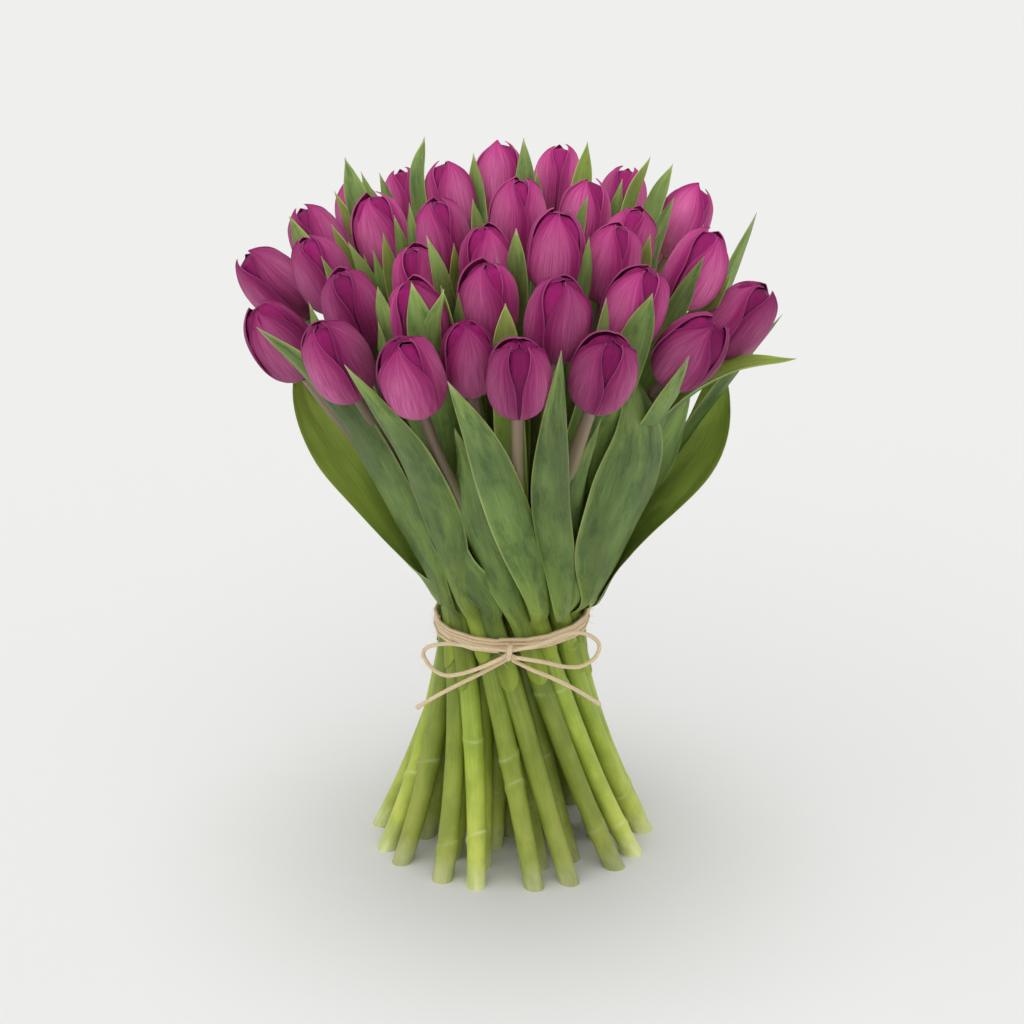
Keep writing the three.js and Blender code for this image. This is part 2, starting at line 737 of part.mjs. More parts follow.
// Where a taut strand lies round the stems, seen along a direction from the axis.
function tautPoint(angle, off) {
  const out = vec(Math.cos(angle), Math.sin(angle), 0);
  const reach = (seat) => out.x * seat.at[0] + out.y * seat.at[1];
  const outermost = SEATS.reduce((a, b) => (reach(b) > reach(a) ? b : a));
  return vec(...outermost.at, 0).addScaledVector(out, STEM_RADIUS.tie + off);
}

// The wraps as one ring with a ridge for each strand.
function wrapsGeometry() {
  const inside = GAP + LEAN_ROOM;
  const outline = [[inside, -WRAPS / 2]];
  for (let strand = 0; strand < WRAPS; strand++) {
    const level = strand + 0.5 - WRAPS / 2;
    if (strand) outline.push([inside + TWINE * WRAP_GROOVE, level - 0.5]);
    outline.push([inside + TWINE, level]);
  }
  outline.push([inside, WRAPS / 2]);
  const rings = Array.from({ length: WRAP_STEPS }, (_, k) => {
    const angle = (-2 * Math.PI * k) / WRAP_STEPS;
    const front = Math.max(0, -Math.sin(angle)) ** 2;
    const pitch = mix(WRAP_PITCH.sides, WRAP_PITCH.front, front);
    const middle = TIE_HEIGHT + WRAP_RISE * Math.cos(angle);
    return outline.map(([off, level]) => tautPoint(angle, off).setZ(middle + level * pitch));
  });
  const count = outline.length;
  const faces = [];
  for (let k = 0; k < WRAP_STEPS; k++) {
    for (let i = 0; i < count; i++) {
      const a = k * count + i;
      const b = k * count + ((i + 1) % count);
      const next = (m) => (m + count) % (WRAP_STEPS * count);
      faces.push([a, b, next(b)], [a, next(b), next(a)]);
    }
  }
  return shape(rings.flat(), faces);
}

function knotGeometry() {
  const ball = new THREE.SphereGeometry(1, ...KNOT.facets);
  return ball.scale(...KNOT.half).translate(...KNOT.at);
}

function looseTwine(points) {
  const path = throughPoints(points.map((p) => vec(...p)));
  const section = new THREE.Shape(
    Array.from({ length: TWINE_SIDES }, (_, i) => {
      const angle = (2 * Math.PI * i) / TWINE_SIDES;
      return new THREE.Vector2(Math.cos(angle), Math.sin(angle)).multiplyScalar(TWINE / 2);
    }),
  );
  const steps = Math.round(path.getLength() / TWINE_STEP);
  const options = { steps, bevelEnabled: false, extrudePath: path };
  return new THREE.ExtrudeGeometry(section, options);
}

// ---- Assembly -----------------------------------------------------------------------

const MATERIALS = {
  petal: new THREE.MeshStandardMaterial({ color: 0xa0407c, roughness: 0.55, metalness: 0 }),
  green: new THREE.MeshStandardMaterial({ color: 0x6f9040, roughness: 0.6, metalness: 0 }),
  twine: new THREE.MeshStandardMaterial({ color: 0xd6b98c, roughness: 0.9, metalness: 0 }),
};

const bunch = new THREE.Group();
bunch.position.set(-MIDDLE[0], -MIDDLE[1], 0);

function add(name, geometry, material) {
  const mesh = new THREE.Mesh(geometry, MATERIALS[material]);
  mesh.name = name;
  bunch.add(mesh);
  return mesh;
}

const number = (n) => String(n).padStart(2, "0");

TULIPS.forEach((tulip, i) => {
  const mesh = add(`bloom_${number(i + 1)}`, bloomGeometry(tulip), "petal");
  mesh.applyMatrix4(bloomMatrix(tulip));
});

const groups = new Map();
SEATS.forEach((seat, i) => {
  const pair = seat.ring === 0 ? 0 : seat.pair;
  const key = `${Math.max(1, seat.ring)}_${number(pair + 1)}`;
  groups.set(key, [...(groups.get(key) ?? []), i]);
});

const keyOf = (i) => [...groups].find(([, members]) => members.includes(i))[0];
const stemBodies = TULIPS.map((tulip, i) => solid(stemGeometry(tulip, SEATS[i])));
const wideStems = TULIPS.map((tulip, i) => solid(stemGeometry(tulip, SEATS[i], GAP + STEM_MARGIN)));
const wideBlooms = TULIPS.map((tulip) =>
  solid(bloomGeometry(tulip, GAP).applyMatrix4(bloomMatrix(tulip))),
);

function boxesMeet(a, b) {
  const p = a.boundingBox();
  const q = b.boundingBox();
  return [0, 1, 2].every((k) => p.min[k] <= q.max[k] && q.min[k] <= p.max[k]);
}

// Cuts away of a leaf what would run into a neighbour, and keeps what is left on its stem.
function fittedLeaf(leaf, placed) {
  const key = keyOf(leaf.own);
  let body = solid(leafGeometry(leaf));
  const others = [
    ...wideBlooms,
    ...wideStems.filter((_, i) => keyOf(i) !== key),
    ...placed.filter((other) => other.key !== key).map((other) => other.wide),
  ];
  for (const other of others) {
    if (boxesMeet(body, other)) body = body.subtract(other);
  }
  const pieces = body.decompose().filter((piece) => {
    return piece.intersect(stemBodies[leaf.own]).volume() > HELD_VOLUME;
  });
  const kept = pieces.length ? pieces.reduce((a, b) => (b.volume() > a.volume() ? b : a)) : null;
  return { key, kept, wide: solid(leafGeometry(leaf, GAP)) };
}

const placed = [];
LEAVES.forEach((leaf) => {
  const fitted = fittedLeaf(leaf, placed);
  if (fitted.kept) placed.push(fitted);
});

for (const [key, members] of groups) {
  let body = members.map((i) => stemBodies[i]).reduce((a, b) => a.add(b));
  for (const leaf of placed.filter((p) => p.key === key)) body = body.add(leaf.kept);
  add(`leafy_stems_${key}`, geometryOf(largest(body)), "green");
}

add("twine_wraps_knot", geometryOf(solid(wrapsGeometry()).add(solid(knotGeometry()))), "twine");
for (const [name, points] of Object.entries(TWINE_ENDS)) add(name, looseTwine(points), "twine");

export default bunch;
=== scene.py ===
# A hand-tied spiral bunch of closed purple tulips with a twine bow, standing on its cut ends.
# Sizes are in millimetres until a mesh is made. +Z is up and the bow faces -Y.

import math
import random

import bpy
import numpy as np
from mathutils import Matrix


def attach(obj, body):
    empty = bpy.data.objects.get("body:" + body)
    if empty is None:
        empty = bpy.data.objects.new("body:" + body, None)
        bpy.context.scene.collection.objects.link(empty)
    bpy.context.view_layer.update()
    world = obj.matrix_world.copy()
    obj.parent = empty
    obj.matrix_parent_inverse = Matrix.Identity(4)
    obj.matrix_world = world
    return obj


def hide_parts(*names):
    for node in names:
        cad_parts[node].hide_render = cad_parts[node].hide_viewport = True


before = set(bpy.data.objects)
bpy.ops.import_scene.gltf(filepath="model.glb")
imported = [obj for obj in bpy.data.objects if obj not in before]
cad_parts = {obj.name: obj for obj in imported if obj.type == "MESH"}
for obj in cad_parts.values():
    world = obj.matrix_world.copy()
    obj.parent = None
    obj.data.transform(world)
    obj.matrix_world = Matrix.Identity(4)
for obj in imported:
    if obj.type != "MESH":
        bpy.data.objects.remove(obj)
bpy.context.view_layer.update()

MM = 0.001
SEEDS = {"twine": 7, "blooms": 7000, "stems": 14000, "leaves": 21000, "sheaths": 28000}
ANY_PHASE = (0, 6.28)
ANY_PLACE = (0, 50)  # of a piece on the endless pattern of its material

# ---- Driving sizes, the same as the frame's ----

MIDDLE = np.array([-1.45, -2.14, 0.0])  # of the bunch, moved to the origin
GAP = 0.35  # air left between two pieces

TIE_HEIGHT = 131
RING_RADII = [0, 11, 22.4, 33]  # at the tie
RING_COUNTS = [1, 6, 12, 18]
PAIR_SPACING = 8.9  # between two stems of a pair
MIDDLE_SHIFT = 3.2  # of the middle stem
SPLAY = 0.002  # widening for each mm below the tie
SPLAY_MORE = 2.0e-5  # and for each square mm
TWIST = 0.0091  # sideways slope for each mm from the axis
OVAL = 0.1  # of the ring of feet
LEADS = [0, 22, 22, 20]  # degrees that a ring's stems lead their blooms
STEM_FOOT = 5.4  # radii
STEM_TIE = 5.4
STEM_NECK = 2.9

BLOOM_LENGTH = 46
BLOOM_HALF_WIDTH = 15.3

LEAF_THICKNESS = 0.8
LEAF_FLARE = 0.42  # share of the length where it is widest
LEAF_ROOT_HALF = 3.9
LEAF_TAPER = 1.3  # how drawn out the tip is
WAVE_PHASE = 2  # radians between the waves of the two edges

TWINE = 2.2
WRAPS = 5
WRAP_PITCH = {"front": 1.7, "sides": 2.35}
WRAP_RISE = 1.2  # the turns sit higher on the right than on the left
LEAN_ROOM = 1.1  # a leaning stem is wider across the ring of twine
KNOT_AT = np.array([-1.5, -45.3, 130.0])

# Middle of each bloom in x, y, z, the lean of its axis in degrees, its size, and the turn
# of its first gap between petals.
TULIPS = [
    (-120, 4, 311, 44, 1.0, 8), (-114, -36, 294, 32, 1.0, -62), (-82, -88, 300, 31, 1.03, 14),
    (-46, -112, 300, 28, 1.0, 34), (-20, -94, 303, 20, 0.9, -50), (3, -118, 301, 30, 0.98, 2),
    (42, -110, 301, 33, 1.0, 8), (84, -84, 303, 42, 1.0, 40), (111, -38, 305, 35, 1.0, -10),
    (-93, -26, 325, 24, 0.93, 20), (-76, -60, 316, 20, 0.96, 12), (-44, -80, 318, 19, 0.92, -30),
    (-11, -72, 324, 15, 0.95, 30), (21, -92, 321, 19, 1.0, -24), (58, -80, 324, 24, 0.98, 20),
    (89, -42, 332, 25, 0.95, -30), (-99, 22, 328, 26, 0.92, 10), (-65, -4, 340, 14, 0.92, 40),
    (-44, -52, 327, 15, 0.9, -10), (-34, -20, 341, 10, 0.92, 20), (-12, -46, 335, 11, 0.9, -35),
    (3, -12, 349, 4, 0.95, 15), (21, -60, 345, 13, 0.93, 50), (48, -44, 335, 14, 0.93, 10),
    (57, -14, 336, 14, 0.92, -15), (89, 34, 337, 26, 0.9, 25), (-56, 80, 335, 22, 0.88, 10),
    (-33, 42, 347, 11, 0.88, -20), (-6, 64, 352, 12, 0.9, 40), (24, 84, 346, 16, 0.9, 0),
    (37, 24, 341, 10, 0.9, 30), (57, 60, 340, 18, 0.88, -10), (-79, 48, 336, 20, 0.86, 20),
    (-94, 76, 301, 31, 0.95, 0), (-38, 114, 308, 30, 0.95, 30), (28, 114, 309, 30, 0.95, 10),
    (84, 84, 305, 31, 0.95, 50),
]

# Outer leaves: tulip it grows on, spine, full width, face at the root and at the tip,
# height and number of the waves along the edge.
OUTER_LEAVES = [
    (10, [(-42, -18, 150), (-56, -22, 180), (-74, -20, 208), (-92, -12, 231), (-105, -4, 252),
          (-110, 6, 276)],
     46, (-0.85, 0.1, -0.1), (-0.5, 0.75, -0.4), (2, 1.5)),
    (2, [(-37, -33, 154), (-51, -50, 198), (-66, -64, 236), (-79, -73, 266), (-97, -74, 290),
         (-122, -64, 309)],
     26, (-0.7, -0.7, 0), (-0.5, -0.85, 0), (1, 1)),
    (11, [(-26, -42, 157), (-35, -66, 208), (-47, -94, 252), (-61, -114, 284), (-76, -118, 307)],
     22, (-0.4, -0.9, 0), (-0.3, -0.95, 0), (1, 1)),
    (3, [(-13, -46, 156), (-27, -53, 182), (-38, -60, 207), (-47, -66, 232)],
     20, (-0.2, -1, 0), (-0.6, -0.8, 0), (3, 2)),
    (4, [(0, -47, 157), (-9, -57, 185), (-18, -70, 214), (-21, -83, 242), (-27, -93, 268)],
     24, (0, -1, 0), (-0.45, -0.9, 0), (3, 2)),
    (6, [(16, -46, 152), (8, -62, 184), (-3, -86, 226), (-14, -110, 266), (-29, -130, 303)],
     23, (0.2, -1, 0), (0.1, -1, 0), (1.5, 1)),
    (7, [(28, -43, 152), (24, -58, 184), (19, -84, 226), (19, -114, 270), (22, -132, 318)],
     20, (0.2, -1, 0), (0, -1, 0), (1, 1.5)),
    (7, [(35, -38, 160), (31, -54, 200), (33, -70, 232), (42, -86, 270)],
     11, (0.3, -1, 0), (0.6, -0.8, 0), (0.5, 1)),
    (15, [(44, -32, 156), (50, -50, 190), (58, -64, 224), (62, -74, 258), (56, -76, 292)],
     42, (0.6, -0.8, 0), (0.35, -0.95, 0), (2, 1)),
    (15, [(47, -27, 160), (60, -44, 210), (68, -62, 253), (74, -88, 280), (81, -108, 308)],
     24, (0.7, -0.7, 0), (0.4, -0.9, 0.1), (1, 1)),
    (8, [(49, -20, 158), (60, -32, 208), (79, -44, 259), (106, -52, 284), (137, -60, 292)],
     34, (0.8, -0.6, 0), (0.2, 0.35, -0.9), (1.5, 1)),
    (16, [(47, -13, 150), (57, -18, 178), (81, -12, 205), (100, -6, 228), (106, 2, 251), (106, 8, 276)],
     46, (0.9, 0, -0.1), (0.5, 0.75, -0.4), (1.5, 1)),
    (8, [(48, -24, 156), (62, -28, 205), (75, -31, 232), (84, -34, 254), (89, -38, 275)],
     36, (0.8, -0.6, 0), (0.5, -0.8, -0.2), (4, 1.5)),
    (16, [(50, -2, 160), (84, -6, 222), (112, -12, 268), (136, -10, 300)],
     20, (1, -0.2, 0), (0.5, -0.6, -0.6), (1, 1)),
    (9, [(48, 12, 158), (80, 26, 230), (108, 36, 290), (128, 50, 338)],
     26, (1, 0, 0), (0.7, -0.7, 0), (1, 1)),
]

# Leaves round the back: direction in degrees, reach and height of the tip, full width.
BACK_LEAVES = [
    (52, 124, 322, 30), (76, 118, 300, 34), (98, 112, 336, 28),
    (120, 126, 296, 36), (142, 116, 330, 30), (162, 128, 304, 32),
]
BACK_LEAF_SHARES = [(0, 150), (0.28, 196), (0.66, 250)]
BACK_LEAF_NOD = 0.3
BACK_LEAF_WAVE = (2, 1.5)

# Tips of the narrow leaves between the blooms: x, y, z and full width.
INNER_TIPS = [
    (-45, 44, 379, 15), (-85, 30, 371, 17), (-68, 36, 362, 12), (-112, 8, 346, 18), (-89, -14, 347, 13),
    (-79, -38, 344, 12), (-62, -40, 349, 12), (-50, -24, 360, 12), (-40, -66, 354, 12), (-19, -33, 364, 14),
    (-20, 52, 369, 14), (6, 46, 378, 15), (2, -68, 358, 18), (-31, -102, 338, 12), (-46, -98, 340, 19),
    (-62, -90, 336, 18), (-3, -112, 334, 16), (-96, -70, 323, 12), (39, 46, 376, 15), (71, 38, 370, 16),
    (82, 30, 368, 15), (37, -20, 363, 13), (36, -68, 354, 13), (73, -20, 347, 15), (96, 2, 343, 13),
    (106, -42, 330, 20), (43, -102, 334, 13), (64, -102, 336, 20), (-78, 44, 361, 11), (-91, 30, 354, 12),
    (-73, -22, 334, 10), (-68, -26, 337, 11), (-58, -16, 352, 12), (-28, -40, 344, 14), (-7, -63, 342, 9),
    (-92, -42, 338, 11), (-25, -82, 331, 11), (-62, -92, 320, 10), (13, 58, 359, 13), (57, 44, 357, 12),
    (82, 18, 353, 13), (33, 0, 343, 11), (67, -34, 347, 14), (91, -58, 342, 13), (-33, -84, 335, 12),
]
INNER_ROOT_SHARE = 0.26  # where such a leaf leaves its stem, above the tie
INNER_BEND_SHARE = 0.56  # how far up it still follows the stem
INNER_BEND_OUT = 9
INNER_DROP = 34  # the way between the blooms, measured down from the tip
INNER_ROOM = 2.4  # least distance of its middle line from a neighbour
INNER_WAVE = (0.6, 1.5)
INNER_TURN = 1.5  # how far its tip faces the front or the back
ROOM_SHARE = 1.25  # half width allowed, as a share of the room beside it
ROOT_SHARE = 0.1  # the foot of the blade, at full width
LEAST_HALF = 5.0
OVER_PETAL = 4.5  # how far a leaf's edge may press into a petal
CLEAR_ROUNDS = 12  # turns of moving a point off its neighbours

# Middle line of each bow loop and loose end, from the knot, and how each one ends.
TWINE_ENDS = {
    "bow_loop_left": ("object", [
        (-4.6, -47.6, 131.7), (-18, -48.5, 133.6), (-33, -44, 133.6), (-43.5, -35, 127.5),
        (-46.5, -30, 120.8), (-42, -33, 114.5), (-35, -39, 113.2), (-26, -45, 117),
        (-15, -49, 122.8), (-4.7, -49.4, 128.2),
    ]),
    "bow_loop_right": ("object", [
        (1.6, -47.6, 131.7), (14, -48, 135), (29, -41, 138), (39, -34.5, 134.5),
        (45.5, -29, 126.5), (44, -29.5, 119.5), (37, -33, 115.8), (28, -39, 118),
        (15, -47.5, 125), (1.7, -49.4, 128.2),
    ]),
    "twine_tail_left": ("bare", [
        (-3.6, -46, 125), (-16, -44.5, 117), (-28, -41.5, 109), (-39, -38, 101), (-50, -34, 92),
    ]),
    "twine_tail_right": ("bare", [
        (0.6, -46, 125), (10, -45.5, 119.6), (21, -43.5, 113.6), (33, -40, 105.5), (46, -34, 94),
    ]),
}

# ---- The camera, fitted to the photograph's frame ----

CAMERA_DISTANCE = 1100
CAMERA_ELEVATION = 21
CAMERA_AIM = np.array([0.0, 0.0, 195.0])
FOCAL_PIXELS = 2095
FRAME_PIXELS = 1024
SENSOR = 36
AIM_PIXEL_Y = 502

# ---- Small helpers ----


def unit(v):
    return v / np.linalg.norm(v)


def mix(a, b, share):
    return a + (b - a) * share


def smoothstep(x, low, high):
    t = np.clip((x - low) / (high - low), 0, 1)
    return t * t * (3 - 2 * t)


def spun(at, grow, turn):
    return at[0] * grow - at[1] * turn, at[0] * turn + at[1] * grow


def hermite(t, start, slope, end, end_slope):
    """The smooth curve between two values with given slopes."""
    h = 2 * t**3 - 3 * t**2 + 1
    return h * start + (t**3 - 2 * t**2 + t) * slope + (1 - h) * end + (t**3 - t**2) * end_slope


def smooth_table(x, table):
    """A smooth curve through the (place, value) pairs of a table."""
    xs, ys = np.array(table, float).T
    slopes = np.gradient(ys, xs)
    x = np.clip(x, xs[0], xs[-1])
    k = np.clip(np.searchsorted(xs, x, side="right") - 1, 0, len(xs) - 2)
    span = xs[k + 1] - xs[k]
    return hermite((x - xs[k]) / span, ys[k], span * slopes[k], ys[k + 1], span * slopes[k + 1])


def walked_along(line):
    """How far along a line each of its points is."""
    return np.concatenate([[0], np.cumsum(np.linalg.norm(np.diff(line, axis=0), axis=1))])


def carried(slopes, side):
    """At each place of a line the way along it and two ways across it, carried on without a twist."""
    frames = []
    for slope in slopes:
        along = unit(slope)
        side = unit(side - along * side.dot(along))
        frames.append((along, side, np.cross(along, side)))
    return frames


def fill_ramp(ramp, stops):
    """Gives a colour ramp its stops, each a place and a colour."""
    points = ramp.color_ramp.elements
    while len(points) < len(stops):
        points.new(0.5)
    for point, (place, colour) in zip(points, stops):
        point.position = place
        point.color = (*colour, 1)


def place_object(name, data):
    made = bpy.data.objects.new(name, data)
    bpy.context.scene.collection.objects.link(made)
    return made


def any_place(rng):
    return np.array([rng.uniform(*ANY_PLACE), rng.uniform(*ANY_PLACE)])


PATH_STEPS = 400
PATH_NEAR = 1e-4  # step along a path that gives its direction


class Path:
    """A smooth line through points, evenly in its points, as the frame's leaves and twine run."""

    def __init__(self, points):
        self.points = np.array(points, float)

    def at(self, t):
        p = self.points
        last = len(p) - 1
        place = last * min(max(t, 0), 1)
        i = int(place)
        w = place - i
        if i == last:
            i, w = last - 1, 1.0
        before = p[i - 1] if i > 0 else 2 * p[0] - p[1]
        after = p[i + 2] if i + 2 <= last else 2 * p[last] - p[last - 1]
        return hermite(w, p[i], (p[i + 1] - before) / 2, p[i + 1], (after - p[i]) / 2)

    def along(self, t):
        return unit(self.at(min(1, t + PATH_NEAR)) - self.at(max(0, t - PATH_NEAR)))

    def even(self, count):
        """Points the same distance apart."""
        fine = np.array([self.at(t) for t in np.linspace(0, 1, PATH_STEPS)])
        walked = walked_along(fine)
        marks = np.linspace(0, walked[-1], count)
        return np.stack([np.interp(marks, walked, fine[:, k]) for k in range(3)], axis=1)


# ---- Meshes ----


def fill(data, key, values, kind=np.float32):
    data.foreach_set(key, np.ascontiguousarray(values, kind).ravel())


class Sheet:
    """Collects points, four marks for each, faces, a flat map in real size, and material slots."""

    def __init__(self):
        self.parts = []
        self.count = 0

    def grid(self, points, marks, flat, wrap=False, slot=0, flip=False):
        """Adds rows by columns of points and their flat map, which has one more column if it wraps."""
        rows, cols = points.shape[:2]
        r, c = np.meshgrid(np.arange(rows - 1), np.arange(cols if wrap else cols - 1), indexing="ij")
        r, c = np.stack([r, r, r + 1, r + 1], -1), np.stack([c, c + 1, c + 1, c], -1)
        faces = (r * cols + c % cols).reshape(-1, 4) + self.count
        maps = flat[r, c].reshape(-1, 4, 2)
        if flip:
            faces, maps = faces[:, ::-1], maps[:, ::-1]
        slots = np.full(len(faces), slot)
        self.parts.append((points.reshape(-1, 3), marks.reshape(-1, 4), faces, maps, slots))
        self.count += rows * cols

    def build(self, name, materials):
        points, marks, faces, maps, slots = (np.concatenate(part) for part in zip(*self.parts))
        mesh = bpy.data.meshes.new(name)
        mesh.vertices.add(len(points))
        fill(mesh.vertices, "co", (points - MIDDLE) * MM)
        mesh.loops.add(faces.size)
        fill(mesh.loops, "vertex_index", faces, np.int32)
        mesh.polygons.add(len(faces))
        fill(mesh.polygons, "loop_start", np.arange(0, faces.size, 4), np.int32)
        fill(mesh.polygons, "material_index", slots, np.int32)
        mesh.update(calc_edges=True)
        mesh.shade_smooth()
        fill(mesh.uv_layers.new(name="strip").data, "uv", maps)
        fill(mesh.attributes.new("marks", "FLOAT_COLOR", "POINT").data, "color", marks)
        for material in materials:
            mesh.materials.append(material)
        mesh.validate()
        return place_object(name, mesh)


FLAT_UNIT = 100  # mm of the object for one unit of the flat map


def marks_of(shape, *values):
    return np.stack([np.broadcast_to(v, shape) for v in values], axis=-1).astype(float)


# ---- Materials ----


class Shader:
    """A node material, written as sums of small steps."""

    def __init__(self, name, roughness, specular=0.35, sheen=0.0):
        self.material = bpy.data.materials.new(name)
        self.material.use_nodes = True
        self.tree = self.material.node_tree
        self.surface = self.tree.nodes["Principled BSDF"]
        self.surface.inputs["Roughness"].default_value = roughness
        self.surface.inputs["Specular IOR Level"].default_value = specular
        self.surface.inputs["Sheen Weight"].default_value = sheen

    def put(self, socket, value):
        if isinstance(value, bpy.types.NodeSocket):
            self.tree.links.new(value, socket)
        else:
            socket.default_value = value

    def node(self, kind, inputs, **settings):
        made = self.tree.nodes.new(kind)
        for key, value in settings.items():
            setattr(made, key, value)
        for key, value in inputs.items():
            self.put(made.inputs[key], value)
        return made

    def marks(self):
        attribute = self.node("ShaderNodeAttribute", {}, attribute_name="marks")
        split = self.node("ShaderNodeSeparateColor", {0: attribute.outputs["Color"]})
        return [*split.outputs[:3], attribute.outputs["Alpha"]]

    def flat(self, across, along):
        """The flat map, stretched to so many features for each 100 mm across and along."""
        here = self.node("ShaderNodeUVMap", {}, uv_map="strip").outputs[0]
        stretch = {0: here, 1: (across, along, 1)}
        return self.node("ShaderNodeVectorMath", stretch, operation="MULTIPLY").outputs[0]

    def noise(self, place, detail=3, rough=0.55, low=0.3, high=0.7):
        inputs = {"Vector": place, "Scale": 1, "Detail": detail, "Roughness": rough}
        made = self.node("ShaderNodeTexNoise", inputs, noise_dimensions="2D")
        return self.range(made.outputs["Fac"], low, high)

    def range(self, value, low, high, to_low=0.0, to_high=1.0):
        inputs = dict(enumerate((value, low, high, to_low, to_high)))
        return self.node("ShaderNodeMapRange", inputs, interpolation_type="SMOOTHSTEP").outputs[0]

    def math(self, operation, a, b):
        return self.node("ShaderNodeMath", {0: a, 1: b}, operation=operation).outputs[0]

    def mix(self, share, a, b):
        a, b = (c if isinstance(c, bpy.types.NodeSocket) else (*c, 1) for c in (a, b))
        return self.node("ShaderNodeMix", {0: share, 6: a, 7: b}, data_type="RGBA").outputs[2]

    def tint(self, colour, where, share, other):
        """Mixes another colour in, up to a share of it."""
        return self.mix(self.math("MULTIPLY", where, share), colour, other)

    def shaded(self, colour, value):
        return self.node("ShaderNodeHueSaturation", {"Value": value, "Color": colour}).outputs[0]

    def ramp(self, value, *stops):
        made = self.node("ShaderNodeValToRGB", {0: value})
        fill_ramp(made, stops)
        return made.outputs[0]

    def finish(self, colour, height=None, strength=0.3, depth=0.4, rough=None):
        self.put(self.surface.inputs["Base Color"], colour)
        if rough is not None:
            self.put(self.surface.inputs["Roughness"], rough)
        if height is not None:
            inputs = {"Strength": strength, "Distance": depth * MM, "Height": height}
            bump = self.node("ShaderNodeBump", inputs)
            self.put(self.surface.inputs["Normal"], bump.outputs[0])
        return self.material


def petal_material():
    """Satin petal: greyer mauve at the foot, fine streaks, pale rims, a paler middle that is partly waxy
    bloom and partly painted highlight, deeper magenta and painted shade towards the edges, deep magenta
    inside darkened further as painted shade, and painted light on the higher blooms.
    """
    s = Shader("petal_satin", 0.52, 0.12)
    inner, height, across, tone = s.marks()
    fine = s.noise(s.flat(150, 6), detail=4)
    broad = s.noise(s.flat(34, 2.6), detail=2)
    colour = s.ramp(
        height,
        (0.0, (0.42, 0.20, 0.18)), (0.06, (0.36, 0.085, 0.18)),
        (0.3, (0.35, 0.045, 0.165)), (0.7, (0.41, 0.036, 0.185)),
        (1.0, (0.42, 0.024, 0.185)),
    )
    # the paler middle of a petal: partly its waxy bloom, partly a painted highlight
    middle = s.math("MULTIPLY", s.range(across, 0.85, 0.1), s.range(height, 1.0, 0.6))
    colour = s.tint(colour, middle, 0.72, (0.68, 0.175, 0.39))
    colour = s.tint(colour, broad, 0.35, (0.66, 0.15, 0.36))
    colour = s.tint(colour, fine, 0.45, (0.18, 0.002, 0.075))
    # inner petals: deep magenta, darkened further as painted shade in the slits between the outer petals
    colour = s.tint(colour, inner, 0.82, (0.24, 0.002, 0.10))
    # towards the edges of a petal: partly a deeper magenta, partly painted shade where its sides turn away
    # and the petals overlap
    deep_edge_and_painted_shade = s.math("MULTIPLY", s.range(across, 0.6, 0.95), s.range(height, 0.1, 0.5))
    colour = s.tint(colour, deep_edge_and_painted_shade, 0.55, (0.20, 0.002, 0.085))
    rim = s.math("MULTIPLY", s.range(across, 0.97, 1.0), s.range(height, 0.05, 0.4))
    colour = s.tint(colour, rim, 0.3, (0.60, 0.20, 0.38))
    # the tone is partly random and partly painted light: the higher a bloom stands, the lighter its petals
    shade = s.range(tone, 0, 1, 0.74, 1.42)
    rough = s.range(fine, 0, 1, 0.46, 0.6)
    return s.finish(s.shaded(colour, shade), s.math("ADD", fine, broad), 0.5, 0.3, rough)


def leaf_material():
    """Waxy blade: parallel veins, darker mottling, a pale thin margin, yellower tip and foot, and painted
    light on the inner faces, most on the outer leaves, as if shone through.
    """
    s = Shader("leaf_waxy", 0.5, 0.35)
    outer, height, edge, tone = s.marks()
    veins = s.noise(s.flat(85, 1.6), detail=4, low=0.35, high=0.68)
    fine = s.noise(s.flat(260, 6), detail=2)
    mottle = s.noise(s.flat(9, 3.2), detail=5, rough=0.7, low=0.45, high=0.7)
    broad = s.noise(s.flat(5, 1.4), detail=2)
    colour = s.ramp(
        height,
        (0.0, (0.31, 0.41, 0.045)), (0.2, (0.27, 0.37, 0.05)),
        (0.34, (0.17, 0.27, 0.045)), (0.75, (0.14, 0.225, 0.055)),
        (0.95, (0.30, 0.42, 0.10)), (1.0, (0.70, 0.68, 0.36)),
    )
    colour = s.tint(colour, veins, 0.5, (0.22, 0.32, 0.095))
    colour = s.tint(colour, fine, 0.35, (0.055, 0.11, 0.022))
    away = s.math("SUBTRACT", 1.0, s.range(height, 0.0, 0.25, 1.0, 0.0))
    colour = s.tint(colour, s.math("MULTIPLY", mottle, 0.65), away, (0.045, 0.105, 0.022))
    # painted light: the inner faces, most of all those of the outer leaves, are painted a lighter green, as
    # if light shone through them
    inside = s.math("SUBTRACT", 1.0, outer)
    lit = s.math("MULTIPLY", inside, s.range(tone, 0.45, 0.55, 0.75, 0.3))
    colour = s.mix(lit, colour, (0.42, 0.58, 0.085))
    colour = s.mix(s.range(height, 0.2, 0.02), colour, (0.31, 0.41, 0.042))
    colour = s.tint(colour, edge, 0.85, (0.50, 0.58, 0.19))
    shade = s.math("ADD", s.range(tone, 0, 1, 0.85, 1.45), s.range(broad, 0, 1, -0.18, 0.18))
    rough = s.range(veins, 0, 1, 0.44, 0.58)
    return s.finish(s.shaded(colour, shade), s.math("ADD", veins, fine), 0.5, 0.3, rough)


